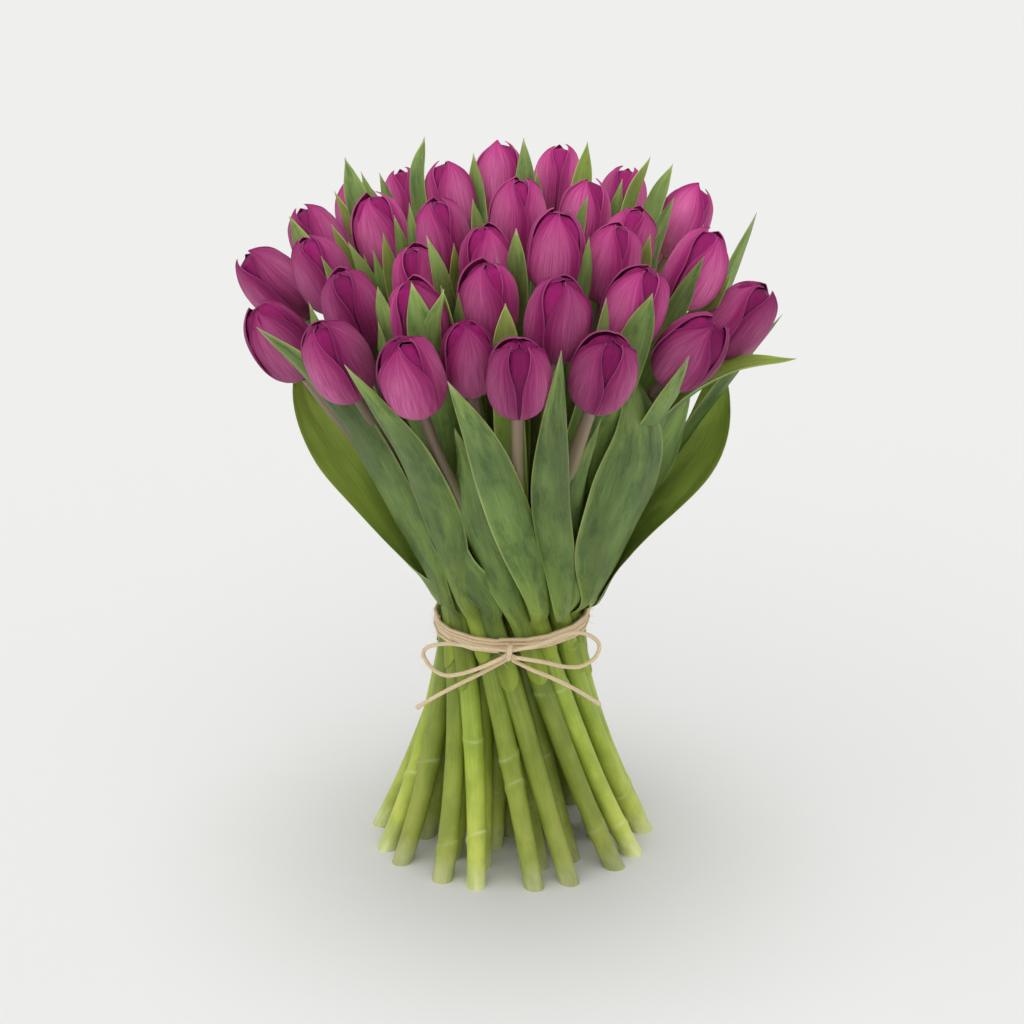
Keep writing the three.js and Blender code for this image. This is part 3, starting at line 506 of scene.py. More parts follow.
def stem_material():
    """Smooth green stem: pale foot, thin pale leaf scars, brownish mauve under the bloom."""
    s = Shader("stem_green", 0.42, 0.4)
    scar, height, _, tone = s.marks()
    streaks = s.noise(s.flat(110, 3), detail=4)
    patches = s.noise(s.flat(9, 5), detail=3)
    colour = s.ramp(
        height,
        (0.0, (0.80, 0.82, 0.42)), (0.05, (0.56, 0.62, 0.11)),
        (0.2, (0.38, 0.48, 0.045)), (0.4, (0.27, 0.38, 0.04)),
        (0.75, (0.16, 0.22, 0.05)), (0.93, (0.22, 0.15, 0.12)),
        (1.0, (0.27, 0.13, 0.14)),
    )
    colour = s.tint(colour, streaks, 0.35, (0.56, 0.62, 0.13))
    colour = s.tint(colour, patches, 0.4, (0.14, 0.25, 0.015))
    colour = s.tint(colour, s.range(height, 0.6, 0.95), 0.75, (0.25, 0.17, 0.13))
    colour = s.tint(colour, scar, 0.6, (0.72, 0.74, 0.40))
    shade = s.range(tone, 0, 1, 0.62, 1.12)
    return s.finish(s.shaded(colour, shade), streaks, 0.25, 0.2, s.range(streaks, 0, 1, 0.36, 0.5))


def cut_material():
    """Freshly cut stem end: pale and moist, with fine pores."""
    s = Shader("stem_cut", 0.45, 0.4)
    pores = s.noise(s.flat(220, 220), detail=2)
    colour = s.mix(pores, (0.72, 0.74, 0.42), (0.50, 0.58, 0.22))
    return s.finish(colour, pores, 0.4, 0.2)


def twine_material():
    """Jute: fibres that run along the strands, with painted shade between the plies and between the turns.
    """
    s = Shader("twine_jute", 0.9, 0.15, 0.35)
    groove, _, end, _ = s.marks()
    fibres = s.noise(s.flat(420, 60), detail=4)
    stains = s.noise(s.flat(10, 6), detail=3)
    colour = s.mix(fibres, (1.0, 0.86, 0.58), (1.0, 0.72, 0.43))
    colour = s.tint(colour, stains, 0.2, (0.74, 0.50, 0.27))
    # painted shade in the creases between plies and where the turns of the wraps press together
    colour = s.tint(colour, groove, 0.5, (0.42, 0.26, 0.12))
    colour = s.tint(colour, end, 0.6, (0.88, 0.78, 0.56))
    return s.finish(colour, fibres, 0.7, 0.3)


def floor_material():
    """Plain, almost white, with a grain that hardly shows."""
    s = Shader("floor_plain", 0.9, 0.1)
    here = s.node("ShaderNodeTexCoord", {}).outputs["Object"]
    grain = s.node("ShaderNodeTexNoise", {"Vector": here, "Scale": 60})
    return s.finish(s.mix(grain.outputs["Fac"], (0.775, 0.775, 0.765), (0.78, 0.78, 0.77)))


PETAL = petal_material()
LEAF = leaf_material()
STEM = stem_material()
CUT = cut_material()
JUTE = twine_material()

# ---- Where the stems and blooms are ----


def bloom_axis(tulip):
    lean = math.radians(tulip[3])
    flat = unit(np.array([tulip[0], tulip[1], 0.0])) * math.sin(lean)
    return flat + np.array([0, 0, math.cos(lean)])


AXES = [bloom_axis(t) for t in TULIPS]
CENTRES = [np.array(t[:3], float) for t in TULIPS]
BASES = [c - a * BLOOM_LENGTH * t[4] / 2 for c, a, t in zip(CENTRES, AXES, TULIPS)]


def seat_stems():
    order = sorted(range(len(TULIPS)), key=lambda i: math.hypot(*TULIPS[i][:2]))
    seats = [None] * len(TULIPS)
    for ring, count in enumerate(RING_COUNTS):
        members, order = order[:count], order[count:]
        members.sort(key=lambda i: math.atan2(TULIPS[i][1], TULIPS[i][0]))
        radius = RING_RADII[ring]
        step = 2 * math.pi / count
        drift = [math.atan2(TULIPS[m][1], TULIPS[m][0]) - i * step for i, m in enumerate(members)]
        start = math.atan2(sum(map(math.sin, drift)), sum(map(math.cos, drift)))
        squeeze = step / 2 - math.asin(PAIR_SPACING / 2 / radius) if ring else 0
        for i, m in enumerate(members):
            angle = start + math.radians(LEADS[ring]) + i * step + (-squeeze if i % 2 else squeeze)
            seats[m] = [ring, i // 2, (radius * math.cos(angle), radius * math.sin(angle))]
    first = [s[2] for s in seats if s[0] == 1 and s[1] == 0]
    toward = unit(np.array(first).sum(axis=0))
    for seat in seats:
        if seat[0] == 0:
            seat[1:] = [0, tuple(toward * MIDDLE_SHIFT)]
    return seats


SEATS = seat_stems()


def foot_point(i, z):
    down = TIE_HEIGHT - z
    x, y = spun(SEATS[i][2], 1 + SPLAY * down + SPLAY_MORE * down * down, TWIST * down)
    oval = OVAL * (down / TIE_HEIGHT) ** 2
    return np.array([x * (1 + oval), y * (1 - oval / 2), z])


def rise_point(i, share):
    """The middle of a stem between the tie and its bloom."""
    end = BASES[i] - AXES[i] * GAP
    height = end[2] - TIE_HEIGHT
    slope = np.array([*spun(SEATS[i][2], -SPLAY, -TWIST), 0.0]) * height
    lean = AXES[i] / AXES[i][2] * height
    x, y, _ = hermite(share, np.array([*SEATS[i][2], 0.0]), slope, end, lean)
    return np.array([x, y, TIE_HEIGHT + share * height])


def rise_share(i, z):
    return min(1, (z - TIE_HEIGHT) / (BASES[i][2] - TIE_HEIGHT))


def stem_point(i, z):
    return foot_point(i, z) if z <= TIE_HEIGHT else rise_point(i, rise_share(i, z))


# ---- Blooms ----

# Share of the length up a petal, and share of the bloom's half width there.
PETAL_PROFILE = {
    "outer": [
        (0, 0.2), (0.03, 0.42), (0.08, 0.63), (0.16, 0.83), (0.27, 0.95), (0.4, 1.0), (0.55, 0.985),
        (0.7, 0.905), (0.82, 0.77), (0.91, 0.6), (0.97, 0.43), (1, 0.3),
    ],
    "inner": [
        (0, 0.2), (0.03, 0.38), (0.08, 0.57), (0.16, 0.76), (0.27, 0.86), (0.4, 0.9), (0.55, 0.885),
        (0.7, 0.83), (0.82, 0.715), (0.91, 0.55), (0.97, 0.34), (1, 0.02),
    ],
}
PETAL_ROWS = 30
PETAL_COLUMNS = 19
PETAL_ROW_POWER = 1.5  # closer together towards the tip
PETAL_HALF_ANGLE = {"outer": (56, 64), "inner": (74, 80)}  # least and most
PETAL_CLOSING = {"outer": (0.55, 2.0, 0.62), "inner": (0.93, 2.0, 0.5)}  # from which share, how sharply
PETAL_TOP = {"outer": (0.965, 1.01), "inner": (0.935, 0.96)}
PETAL_TILT = (-7, 7)  # degrees that the tip sits to one side
PETAL_ROLL = 0.7  # one edge out, the other in
ROLL_CHOICES = [0.6, 1.0]
ROLL_SHARE = {"outer": 1.0, "inner": 0.3}
PETAL_LEAN = {"outer": (-1.5, 0.1), "inner": (-0.2, 0.2)}  # of the tip, in and out
PETAL_WAVE = (0.25, 8, 2.5)  # depth, and radians of it up and across a petal
PETAL_FOLD = {"outer": 0.28, "inner": 0.35}
PETAL_PLEATS = (3, 9)  # radians of the folds up and across a petal
MID_RIB = (0.3, 0.13)  # depth and half width of the groove up the middle
# Shares of a petal's length over which each form sets in, or comes to its end.
PETAL_SPANS = {
    "waves": (0.1, 0.4), "roll": (0.1, 0.4), "roll_end": (0.85, 1.0), "rib": (0.25, 0.8),
    "rim": (0.12, 0.35), "lean": (0.8, 1.0), "pleats": (0.5, 0.9), "pleats_end": (0.95, 1.0),
}
TIP_BAND = 0.1  # share of the length that is rim
RIM_POWER = 8  # how close to the edge the rim lifts
RIM_DEPTH = 0.8
RIM_DROP = 0.15
RIM_LIFT = 0.35
RIM_SHARE = {"outer": 1.0, "inner": 0.4}
PETAL_MAP_HALF = 0.2  # half of a petal's width on the flat map
PAINTED_LIGHT_FROM, PAINTED_LIGHT_BY = 298, 345  # painted light: the higher a bloom stands, the lighter its petals are painted
PAINTED_LIGHT_SHARE = 0.5  # how much of a petal's tone comes from that painted light


def petal_sheet(kind, size, light, rng):
    """Points of one petal round the bloom's axis, its middle towards angle 0, and its marks."""
    t = np.linspace(0, 1, PETAL_ROWS)[:, None]
    u = 1 - (1 - t) ** PETAL_ROW_POWER
    v = np.linspace(-1, 1, PETAL_COLUMNS)[None, :]
    span = {form: smoothstep(u, *shares) for form, shares in PETAL_SPANS.items()}
    start, sharp, blunt = PETAL_CLOSING[kind]
    closing = np.clip((u - start) / (1 - start), 0, 1) ** sharp
    half = rng.uniform(*PETAL_HALF_ANGLE[kind]) * (1 - closing) ** blunt
    angle = np.radians(half * v + rng.uniform(*PETAL_TILT) * u)
    radius = smooth_table(u, PETAL_PROFILE[kind]) * BLOOM_HALF_WIDTH * size
    roll = PETAL_ROLL * rng.choice(ROLL_CHOICES) * ROLL_SHARE[kind]
    radius = radius + size * roll * v * span["roll"] * (1 - span["roll_end"])
    depth, wide = MID_RIB
    radius = radius - depth * size * np.exp(-((v / wide) ** 2)) * span["rib"]
    radius = radius + RIM_LIFT * size * np.abs(v) ** RIM_POWER * span["rim"] * RIM_SHARE[kind]
    radius = radius + rng.uniform(*PETAL_LEAN[kind]) * span["lean"]
    wave, fold = rng.uniform(*ANY_PHASE), rng.uniform(*ANY_PHASE)
    depth, up, across = PETAL_WAVE
    radius = radius + depth * size * np.sin(up * u + across * v + wave) * span["waves"]
    up, across = PETAL_PLEATS
    pleats = np.sin(across * v + up * u + fold) * span["pleats"] * (1 - span["pleats_end"])
    radius = radius + PETAL_FOLD[kind] * size * pleats
    height = BLOOM_LENGTH * size * rng.uniform(*PETAL_TOP[kind]) * u
    x, y = radius * np.sin(angle), -radius * np.cos(angle)
    points = np.stack(np.broadcast_arrays(x, y, height), axis=-1)
    rim = np.maximum(np.abs(v), np.clip((u - (1 - TIP_BAND)) / TIP_BAND, 0, 1))
    # painted light: part of the tone comes from the bloom's height
    tone = mix(rng.random(), light, PAINTED_LIGHT_SHARE)
    return points, marks_of(u.shape[:1] + v.shape[1:], float(kind == "inner"), u, rim, tone)


def bloom(i):
    rng = random.Random(SEEDS["blooms"] + i)
    size, turn = TULIPS[i][4:]
    # painted light: how much lighter this bloom is painted for its height
    light = smoothstep(TULIPS[i][2], PAINTED_LIGHT_FROM, PAINTED_LIGHT_BY)
    up = AXES[i]
    right = unit(np.cross([0, 1, 0], up))
    turned = np.stack([right, np.cross(up, right), up])
    sheet = Sheet()
    for kind, first in (("inner", 0), ("outer", 60)):
        for third in range(3):
            local, marks = petal_sheet(kind, size, light, rng)
            a = math.radians(turn + third * 120 + first)
            spin = np.array([[math.cos(a), math.sin(a), 0], [-math.sin(a), math.cos(a), 0], [0, 0, 1]])
            add_petal(sheet, local @ spin, marks, turned, BASES[i], rng)
    piece = sheet.build(f"tulip_{i + 1:02d}", [PETAL])
    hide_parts(f"bloom_{i + 1:02d}")
    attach(piece, "root")


def add_petal(sheet, local, marks, turned, base, rng):
    """The sheet of a petal, and its rim folded in towards the axis."""
    start = any_place(rng)
    rows, cols = local.shape[:2]
    across = np.linspace(-PETAL_MAP_HALF, PETAL_MAP_HALF, cols)[None, :] * np.ones((rows, 1))
    flat = np.stack([across, local[:, :, 2] / FLAT_UNIT], axis=-1) + start
    sheet.grid(local @ turned + base, marks, flat)
    ring = [(r, 0) for r in range(rows - 1)] + [(rows - 1, c) for c in range(cols)]
    ring += [(r, cols - 1) for r in range(rows - 2, -1, -1)]
    picks = tuple(np.array(ring).T)
    rim = local[picks]
    inward = rim.copy()
    reach = np.linalg.norm(rim[:, :2], axis=1, keepdims=True)
    inward[:, :2] -= rim[:, :2] / reach * np.minimum(RIM_DEPTH, reach / 2)
    inward[:, 2] -= RIM_DROP
    strip = np.stack([rim, inward]) @ turned + base
    sheet.grid(strip, np.stack([marks[picks]] * 2), np.stack([flat[picks]] * 2))


# ---- Stems ----

STEM_SIDES = 16
STEM_STEP = 5.0
SCAR_STEP = 0.7
SCAR_NEAR = 6.0
STEM_ROWS_ABOVE = 36
STEM_WAVE = (0.12, 17)  # depth, and mm along the stem for one radian
STEM_OVAL = (0.1, 31)
# Leaf scars of one stem below the tie: how many, where, and how far round it they reach.
SCAR_COUNTS = [0, 1, 1, 2]
SCAR_HEIGHTS = [(14, 60), (66, 112)]
SCAR_REACH = (0.5, 1.0)
SCAR_DIP = 2.2  # how far a scar's ring tilts
SCAR_SWELL = (0.45, 1.8, 2.6)  # thickness of its bulge, how far below, and how long
SCAR_SKIRT = (0.3, 0.5, 4.0)  # thickness of the old leaf's foot, its end and length
SCAR_LINE = 0.6
SCAR_FAINT = 0.3  # least share of its paleness
CUT_RINGS = [1.0, 0.8, 0.4, 0.02]  # of a cut end, as shares of its radius


def stem_heights(scars):
    """Rows of the stem below the tie, close together at the scars."""
    near = [np.arange(z - SCAR_NEAR, z + SCAR_NEAR, SCAR_STEP) for z, _, _ in scars]
    rows = np.concatenate([np.arange(STEM_STEP, TIE_HEIGHT, STEM_STEP), *near])
    rows = np.sort(rows[(rows > 1) & (rows < TIE_HEIGHT - 1)])
    kept = rows[np.concatenate([[True], np.diff(rows) > SCAR_STEP / 2])]
    return np.concatenate([[0], kept, [TIE_HEIGHT]])


def stem_scars(rng):
    """Height, direction and reach round the stem of each leaf scar below the tie."""
    count = rng.choice(SCAR_COUNTS)
    heights = [rng.uniform(*between) for between in SCAR_HEIGHTS][:count]
    return [(z, rng.uniform(0, 2 * math.pi), rng.uniform(*SCAR_REACH)) for z in heights]


def stem_relief(z, angles, scars, phase):
    """How far the skin of a stem stands out, and how pale it is at its scars."""
    swell = np.zeros((len(z), STEM_SIDES))
    scar = swell.copy()
    bulge, below, over = SCAR_SWELL
    skirt, sharp, length = SCAR_SKIRT
    for height, toward, reach in scars:
        near = z - (height + SCAR_DIP * np.cos(angles - toward))
        swell += bulge * np.exp(-((near + below) / over) ** 2) * reach
        swell += skirt * smoothstep(-near, -sharp, sharp) * smoothstep(near, -length, 0.0)
        facing = SCAR_FAINT + (1 - SCAR_FAINT) * np.cos(angles - toward) ** 2
        scar += np.exp(-((near / SCAR_LINE) ** 2)) * reach * facing
    swell += STEM_WAVE[0] * np.sin(z / STEM_WAVE[1] + phase)
    swell += STEM_OVAL[0] * np.sin(2 * angles + z / STEM_OVAL[1] + phase)
    return swell, np.clip(scar, 0, 1)


def add_stem(sheet, i, rng):
    """The skin of a stem from its cut foot to its bloom, and the cut."""
    scars = stem_scars(rng)
    below = [(foot_point(i, z), mix(STEM_FOOT, STEM_TIE, z / TIE_HEIGHT)) for z in stem_heights(scars)]
    above = [(rise_point(i, s), mix(STEM_TIE, STEM_NECK, s))
             for s in np.linspace(0, 1, STEM_ROWS_ABOVE)[1:]]
    line = np.array([p for p, _ in below + above])
    radius = np.array([r for _, r in below + above])[:, None]
    slopes = np.gradient(line, axis=0)
    slopes[-1] = AXES[i]
    angles = np.linspace(0, 2 * math.pi, STEM_SIDES, endpoint=False)
    z = line[:, 2:3]
    swell, scar = stem_relief(z, angles[None, :], scars, rng.uniform(*ANY_PHASE))
    rings = []
    frames = carried(slopes, np.array([1.0, 0, 0]))
    for middle, reach, (along, side, other) in zip(line, radius + swell, frames):
        ring = middle + reach[:, None] * (np.cos(angles)[:, None] * side + np.sin(angles)[:, None] * other)
        if not rings:
            ring = ring - along * (ring[:, 2:3] / along[2])
        ring[:, 2] = np.maximum(ring[:, 2], 0)
        rings.append(ring)
    marks = marks_of(scar.shape, scar, z / line[-1, 2], 0.0, rng.random())
    start = rng.uniform(*ANY_PLACE)
    around = np.linspace(0, 2 * math.pi * STEM_TIE, STEM_SIDES + 1)[None, :] / FLAT_UNIT
    flat = np.stack(np.broadcast_arrays(start + around, start + z / FLAT_UNIT), axis=-1)
    sheet.grid(np.array(rings), marks, flat, wrap=True, slot=0)
    add_cut(sheet, rings[0], rng.random())


def add_cut(sheet, ring, tone):
    """The flat cut end, as rings that shrink to the middle."""
    middle = ring.mean(axis=0)
    points = middle + (ring - middle) * np.array(CUT_RINGS)[:, None, None]
    closed = np.concatenate([points, points[:, :1]], axis=1)
    flat = closed[:, :, :2] / FLAT_UNIT
    marks = marks_of(points.shape[:2], 0, 0, 0, tone)
    sheet.grid(points, marks, flat, wrap=True, slot=2, flip=True)


# ---- Leaves ----

LEAF_ROWS = 46
LEAF_COLUMNS = 13
LEAF_ROW_POWER = 1.2  # closer together towards the tip
LEAF_FLUTTER = (0.4, 17, 2)  # depth, and radians of it along and across a blade
LEAF_RIB = (0.3, 0.1)  # depth and half width of the groove along the middle
SMOOTHING = [0.25, 0.5, 0.25]
TIP_HALF = 0.15
THIN_UNDER = 1.5  # half width where the tip gets thinner
MARGIN_THINNER = 0.75  # share of the thickness that it loses
MARGIN = 0.06  # share of the half width
MARGIN_FULL = 4  # half width where it begins to fade
SHEATH_HALF = 6.6  # half of a leaf's width where it clasps its stem
SHEATH_GAP = 0.55
SHEATH_ENDS = (98, 121)  # heights between which a sheath begins
SHEATH_STEPS = (0, 0.5, 1)
SHEATH_TOP = 141
SHEATH_ROUND = 6.0  # how much higher a sheath ends at its edges
SHEATH_ROUND_OVER = 15.0
SHEATH_OPEN_BY = 0.35  # share of the blade by which it has opened
FACE_BY = 0.25  # and has turned from its stem
BLADE_CURVE = 1.7  # radius of a blade's cross-section for each mm of half width
ROUTE_STEPS = 300
LEAF_TONE = 0.5  # the outer leaves are the darker half


def beyond_bloom(point, i):
    """Distance of a point from a bloom, taken as an egg, and the way out of it."""
    offset = point - CENTRES[i]
    along = offset.dot(AXES[i])
    away = offset - AXES[i] * along
    size = TULIPS[i][4]
    level = math.hypot(along / (BLOOM_LENGTH / 2 * size), np.linalg.norm(away) / (BLOOM_HALF_WIDTH * size))
    return np.linalg.norm(offset) * (1 - 1 / level), unit(away)


def beyond_stem(point, i):
    away = point - stem_point(i, point[2])
    away[2] = 0
    radius = mix(STEM_TIE, STEM_NECK, rise_share(i, point[2]))
    over = max(0, point[2] - BASES[i][2])
    return np.linalg.norm(away) - radius + over, unit(away)


def clear_of(point, own, room):
    """Moves a spine point off the blooms and off every stem but its own."""
    for _ in range(CLEAR_ROUNDS):
        for i in range(len(TULIPS)):
            for beyond in (beyond_bloom, beyond_stem)[:1 if i == own else 2]:
                distance, out = beyond(point, i)
                if distance < room:
                    point = point + out * (room - distance)
    return point


def room_at(point, own):
    blooms = min(beyond_bloom(point, i)[0] for i in range(len(TULIPS)))
    stems = min(beyond_stem(point, i)[0] for i in range(len(TULIPS)) if i != own)
    return max(0, blooms, stems) if blooms < 0 and stems < 0 else max(0, min(blooms, stems))


def half_width(s, root, widest):
    """Half width at a share of a blade: widest at the flare, drawn in to the tip."""
    widest = max(widest, root)
    if s < LEAF_FLARE:
        return mix(root, widest, smoothstep(s / LEAF_FLARE, 0, 1))
    return widest * math.cos(math.pi / 2 * ((s - LEAF_FLARE) / (1 - LEAF_FLARE)) ** LEAF_TAPER)


def outer_leaf(stem, spine, width, root_face, tip_face, wave):
    """A broad leaf that clasps its stem under the twine and opens above it."""
    own = stem - 1
    rng = random.Random(SEEDS["sheaths"] + stem * 10 + int(width))
    out = unit(np.array([*SEATS[own][2], 0.0]))
    low = rng.uniform(*SHEATH_ENDS)
    clasp = [stem_point(own, mix(low, SHEATH_TOP, s)) + out * (STEM_TIE + SHEATH_GAP) for s in SHEATH_STEPS]
    line = Path([*clasp, *spine]).even(ROUTE_STEPS)
    opening = np.interp(SHEATH_TOP, line[:, 2], np.linspace(0, 1, ROUTE_STEPS))

    def half(u):
        if u < opening:
            return SHEATH_HALF
        return half_width((u - opening) / (1 - opening), SHEATH_HALF, width / 2)

    return own, Path(line), half, (out, root_face, tip_face), wave, opening


def back_leaf(angle, reach, top, width):
    out = np.array([math.cos(math.radians(angle)), math.sin(math.radians(angle)), 0])
    waist = RING_RADII[-1] + STEM_TIE
    spine = [(*(out * mix(waist, reach, share))[:2], z) for share, z in [*BACK_LEAF_SHARES, (1, top)]]
    rim = [i for i in range(len(TULIPS)) if SEATS[i][0] == len(RING_COUNTS) - 1]
    own = min(rim, key=lambda i: np.linalg.norm(stem_point(i, spine[0][2]) - spine[0]))
    return outer_leaf(own + 1, spine, width, out, out - np.array([0, 0, BACK_LEAF_NOD]), BACK_LEAF_WAVE)


def inner_leaf(x, y, z, width):
    """A leaf between the blooms: it follows its own stem, then passes beside its own bloom."""
    tip = np.array([x, y, z], float)
    own = min(range(len(TULIPS)), key=lambda i: beyond_bloom(tip, i)[0])
    axis = AXES[own]
    passing = clear_of(tip - axis * INNER_DROP, own, INNER_ROOM + 1)
    out = passing - CENTRES[own]
    out = unit(out - axis * out.dot(axis))
    bend = clear_of(rise_point(own, INNER_BEND_SHARE) + out * INNER_BEND_OUT, own, INNER_ROOM)
    root = rise_point(own, INNER_ROOT_SHARE)
    tip = clear_of(tip, -1, INNER_ROOM / 2)
    path = Path([root, bend, passing, tip])

    def half(u):
        room = room_at(path.at(u), own) * ROOM_SHARE + OVER_PETAL
        most = math.inf if u < ROOT_SHARE else max(LEAST_HALF, room)
        return min(half_width(u, LEAF_ROOT_HALF, width / 2), most)

    turned = unit(out + np.array([0, math.copysign(INNER_TURN, out[1]), 0]))
    return own, path, half, (out, out, turned), INNER_WAVE, 0.0


def blade_middle(leaf, u, s, reach, rng):
    """The surface half way through a blade, the way out of its face, and how far along each row is."""
    _, path, _, face, wave, opening = leaf
    blade = np.clip((u - opening) / (1 - opening), 0, 1)
    line = np.array([path.at(t) for t in u])
    along = np.array([path.along(t) for t in u])
    faces = np.array(face, float)
    out = mix(faces[0], mix(faces[1], faces[2], blade[:, None]), smoothstep(blade, 0, FACE_BY)[:, None])
    out = out - along * (out * along).sum(axis=1, keepdims=True)
    out = out / np.linalg.norm(out, axis=1, keepdims=True)
    side = np.cross(along, out)
    clasp = STEM_TIE + SHEATH_GAP
    curve = np.maximum(reach * BLADE_CURVE, clasp)
    if opening:
        curve = mix(clasp, curve, smoothstep(blade, 0.0, SHEATH_OPEN_BY))
    curve = curve[:, None]
    turn = reach[:, None] * s / curve
    blade = blade[:, None]
    swell = np.sin(math.pi * blade)
    phase = np.where(s > 0, WAVE_PHASE, 0.0)
    ripple = wave[0] * swell * np.sin(2 * math.pi * wave[1] * blade + phase) * s * s
    depth, up, across = LEAF_FLUTTER
    flutter = depth * swell * np.sin(up * blade + rng.uniform(*ANY_PHASE) + across * s) * np.abs(s) ** 3
    rib = -LEAF_RIB[0] * swell * np.exp(-((s / LEAF_RIB[1]) ** 2))
    lift = (curve * (np.cos(turn) - 1) + ripple + flutter + rib)[:, :, None]
    middle = line[:, None] + side[:, None] * (curve * np.sin(turn))[:, :, None] + out[:, None] * lift
    walked = walked_along(line)
    if opening:
        raised = SHEATH_ROUND * np.clip(1 - walked / SHEATH_ROUND_OVER, 0, 1)[:, None] ** 2 * s * s
        middle = middle + along[:, None] * raised[:, :, None]
    normal = np.cross(np.gradient(middle, axis=0), np.gradient(middle, axis=1))
    normal = normal / np.maximum(np.linalg.norm(normal, axis=2, keepdims=True), 1e-9)
    normal = normal * np.where((normal * out[:, None]).sum(axis=2, keepdims=True) < 0, -1, 1)
    return middle, normal, walked


def add_leaf(sheet, leaf, rng):
    """Both faces of a blade and its thin margin."""
    half, opening = leaf[2], leaf[-1]
    u = 1 - (1 - np.linspace(0, 1, LEAF_ROWS)) ** LEAF_ROW_POWER
    s = np.sin(np.linspace(-math.pi / 2, math.pi / 2, LEAF_COLUMNS))[None, :]
    reach = np.array([half(t) for t in u])
    reach = np.convolve(np.pad(reach, 1, mode="edge"), SMOOTHING, mode="valid")
    reach[-1] = TIP_HALF
    middle, normal, walked = blade_middle(leaf, u, s, reach, rng)
    thick = LEAF_THICKNESS / 2 * np.minimum(1, reach / THIN_UNDER)[:, None, None]
    taper = (1 - MARGIN_THINNER * np.abs(s) ** 6)[:, :, None]
    edge = np.clip((np.abs(s) - (1 - MARGIN)) / MARGIN, 0, 1) * np.minimum(1, reach / MARGIN_FULL)[:, None]
    tone = rng.random() * LEAF_TONE if opening else 1 - rng.random() * LEAF_TONE
    start = any_place(rng)
    flat = np.stack(np.broadcast_arrays(reach.max() * s, walked[:, None]), axis=-1) / FLAT_UNIT + start
    faces = []
    for outer in (1.0, 0.0):
        points = middle + normal * thick * taper * (1 if outer else -1)
        marks = marks_of(points.shape[:2], outer, u[:, None], edge, tone)
        sheet.grid(points, marks, flat, slot=1, flip=outer == 0)
        faces.append(points)
    for col in (0, -1):
        strip = np.stack([faces[0][:, col], faces[1][:, col]], axis=1)
        marks = marks_of(strip.shape[:2], 1.0, u[:, None], 1.0, tone)
        sheet.grid(strip, marks, np.stack([flat[:, col]] * 2, axis=1), slot=1, flip=col == 0)
    foot = np.stack([faces[0][0], faces[1][0]])
    sheet.grid(foot, marks_of(foot.shape[:2], 1.0, 0.0, 0.0, tone), np.stack([flat[0]] * 2), slot=1)


LEAVES = [
    *(outer_leaf(*row) for row in OUTER_LEAVES),
    *(back_leaf(*row) for row in BACK_LEAVES),
    *(inner_leaf(*row) for row in INNER_TIPS),
]


def leafy_stems():
    """Two or three neighbouring stems and their leaves are one piece."""
    groups = {}
    for i, (ring, pair, _) in enumerate(SEATS):
        groups.setdefault(f"{max(1, ring)}_{pair + 1:02d}", []).append(i)
    for key, members in groups.items():
        sheet = Sheet()
        for i in members:
            add_stem(sheet, i, random.Random(SEEDS["stems"] + i))
        for n, leaf in enumerate(LEAVES):
            if leaf[0] in members:
                add_leaf(sheet, leaf, random.Random(SEEDS["leaves"] + n))
        piece = sheet.build(f"stems_and_leaves_{key}", [STEM, LEAF, CUT])
        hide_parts(f"leafy_stems_{key}")
        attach(piece, "root")


# ---- Twine ----

PLIES = 3
PLY_DEPTH = 0.08
# painted shade: PLY_SHADE is its strength in the creases between the plies, GROOVE_FROM where in a crease
# it begins
PLY_SHADE = 0.35
PLY_LAY = 11.0  # mm along the twine for one turn of a ply
GROOVE_FROM = 0.35
PACKED = (0.45, 0.9)  # where the next turn's shade begins
TUBE_SIDES = 18
TUBE_SIDE = [0.3, 0.2, 1.0]  # a direction that no strand begins in
END_LENGTH = 3.0  # of a cut tip's paler fibres
FRAY_LENGTH = 2.2


def add_twine(sheet, line, rng, width=TWINE, ends=0.0, fray=0.0, painted_packing_share=0.0):
    """A three-ply twisted strand along a line of points, with painted shade in the creases between its
    plies, and above and below where its turns press together.
    """
    slopes = np.gradient(line, axis=0)
    walked = walked_along(line)
    angles = np.linspace(0, 2 * math.pi, TUBE_SIDES, endpoint=False)
    frames = carried(slopes, unit(np.cross(slopes[0], TUBE_SIDE)))
    rings, painted_shade_marks = [], []
    for middle, here, (_, side, other) in zip(line, walked, frames):
        turn = 2 * math.pi * here / PLY_LAY
        lobes = np.abs(np.cos(PLIES / 2 * (angles - turn)))
        reach = width / 2 * (1 - PLY_DEPTH + PLY_DEPTH * lobes)
        reach = reach * (1 + fray * math.exp(-(((walked[-1] - here) / FRAY_LENGTH) ** 2)))
        way = np.cos(angles)[:, None] * side + np.sin(angles)[:, None] * other
        rings.append(middle + reach[:, None] * way)
        # painted shade above and below a strand, where the next turn presses on it
        painted_packing_shade = painted_packing_share * smoothstep(np.abs(way[:, 2]), *PACKED)
        painted_shade_marks.append(np.maximum(PLY_SHADE * smoothstep(1 - lobes, GROOVE_FROM, 1.0), painted_packing_shade))
    first, last = (np.tile(ring.mean(axis=0), (TUBE_SIDES, 1)) for ring in (rings[0], rings[-1]))
    rings = np.array([first, *rings, last])
    painted_shade_marks = np.array([painted_shade_marks[0], *painted_shade_marks, painted_shade_marks[-1]])
    walked = np.concatenate([walked[:1], walked, walked[-1:]])[:, None]
    end = np.exp(-((walked[-1] - walked) / END_LENGTH) ** 2) * ends
    marks = marks_of(painted_shade_marks.shape, painted_shade_marks, 0.0, end, rng.random())
    around = np.linspace(0, math.pi * width, TUBE_SIDES + 1)[None, :]
    slant = around + walked * (math.pi * width / PLY_LAY)
    start = rng.uniform(*ANY_PLACE)
    flat = np.stack(np.broadcast_arrays(slant / FLAT_UNIT + start, walked / FLAT_UNIT), axis=-1)
    sheet.grid(rings, marks, flat, wrap=True)


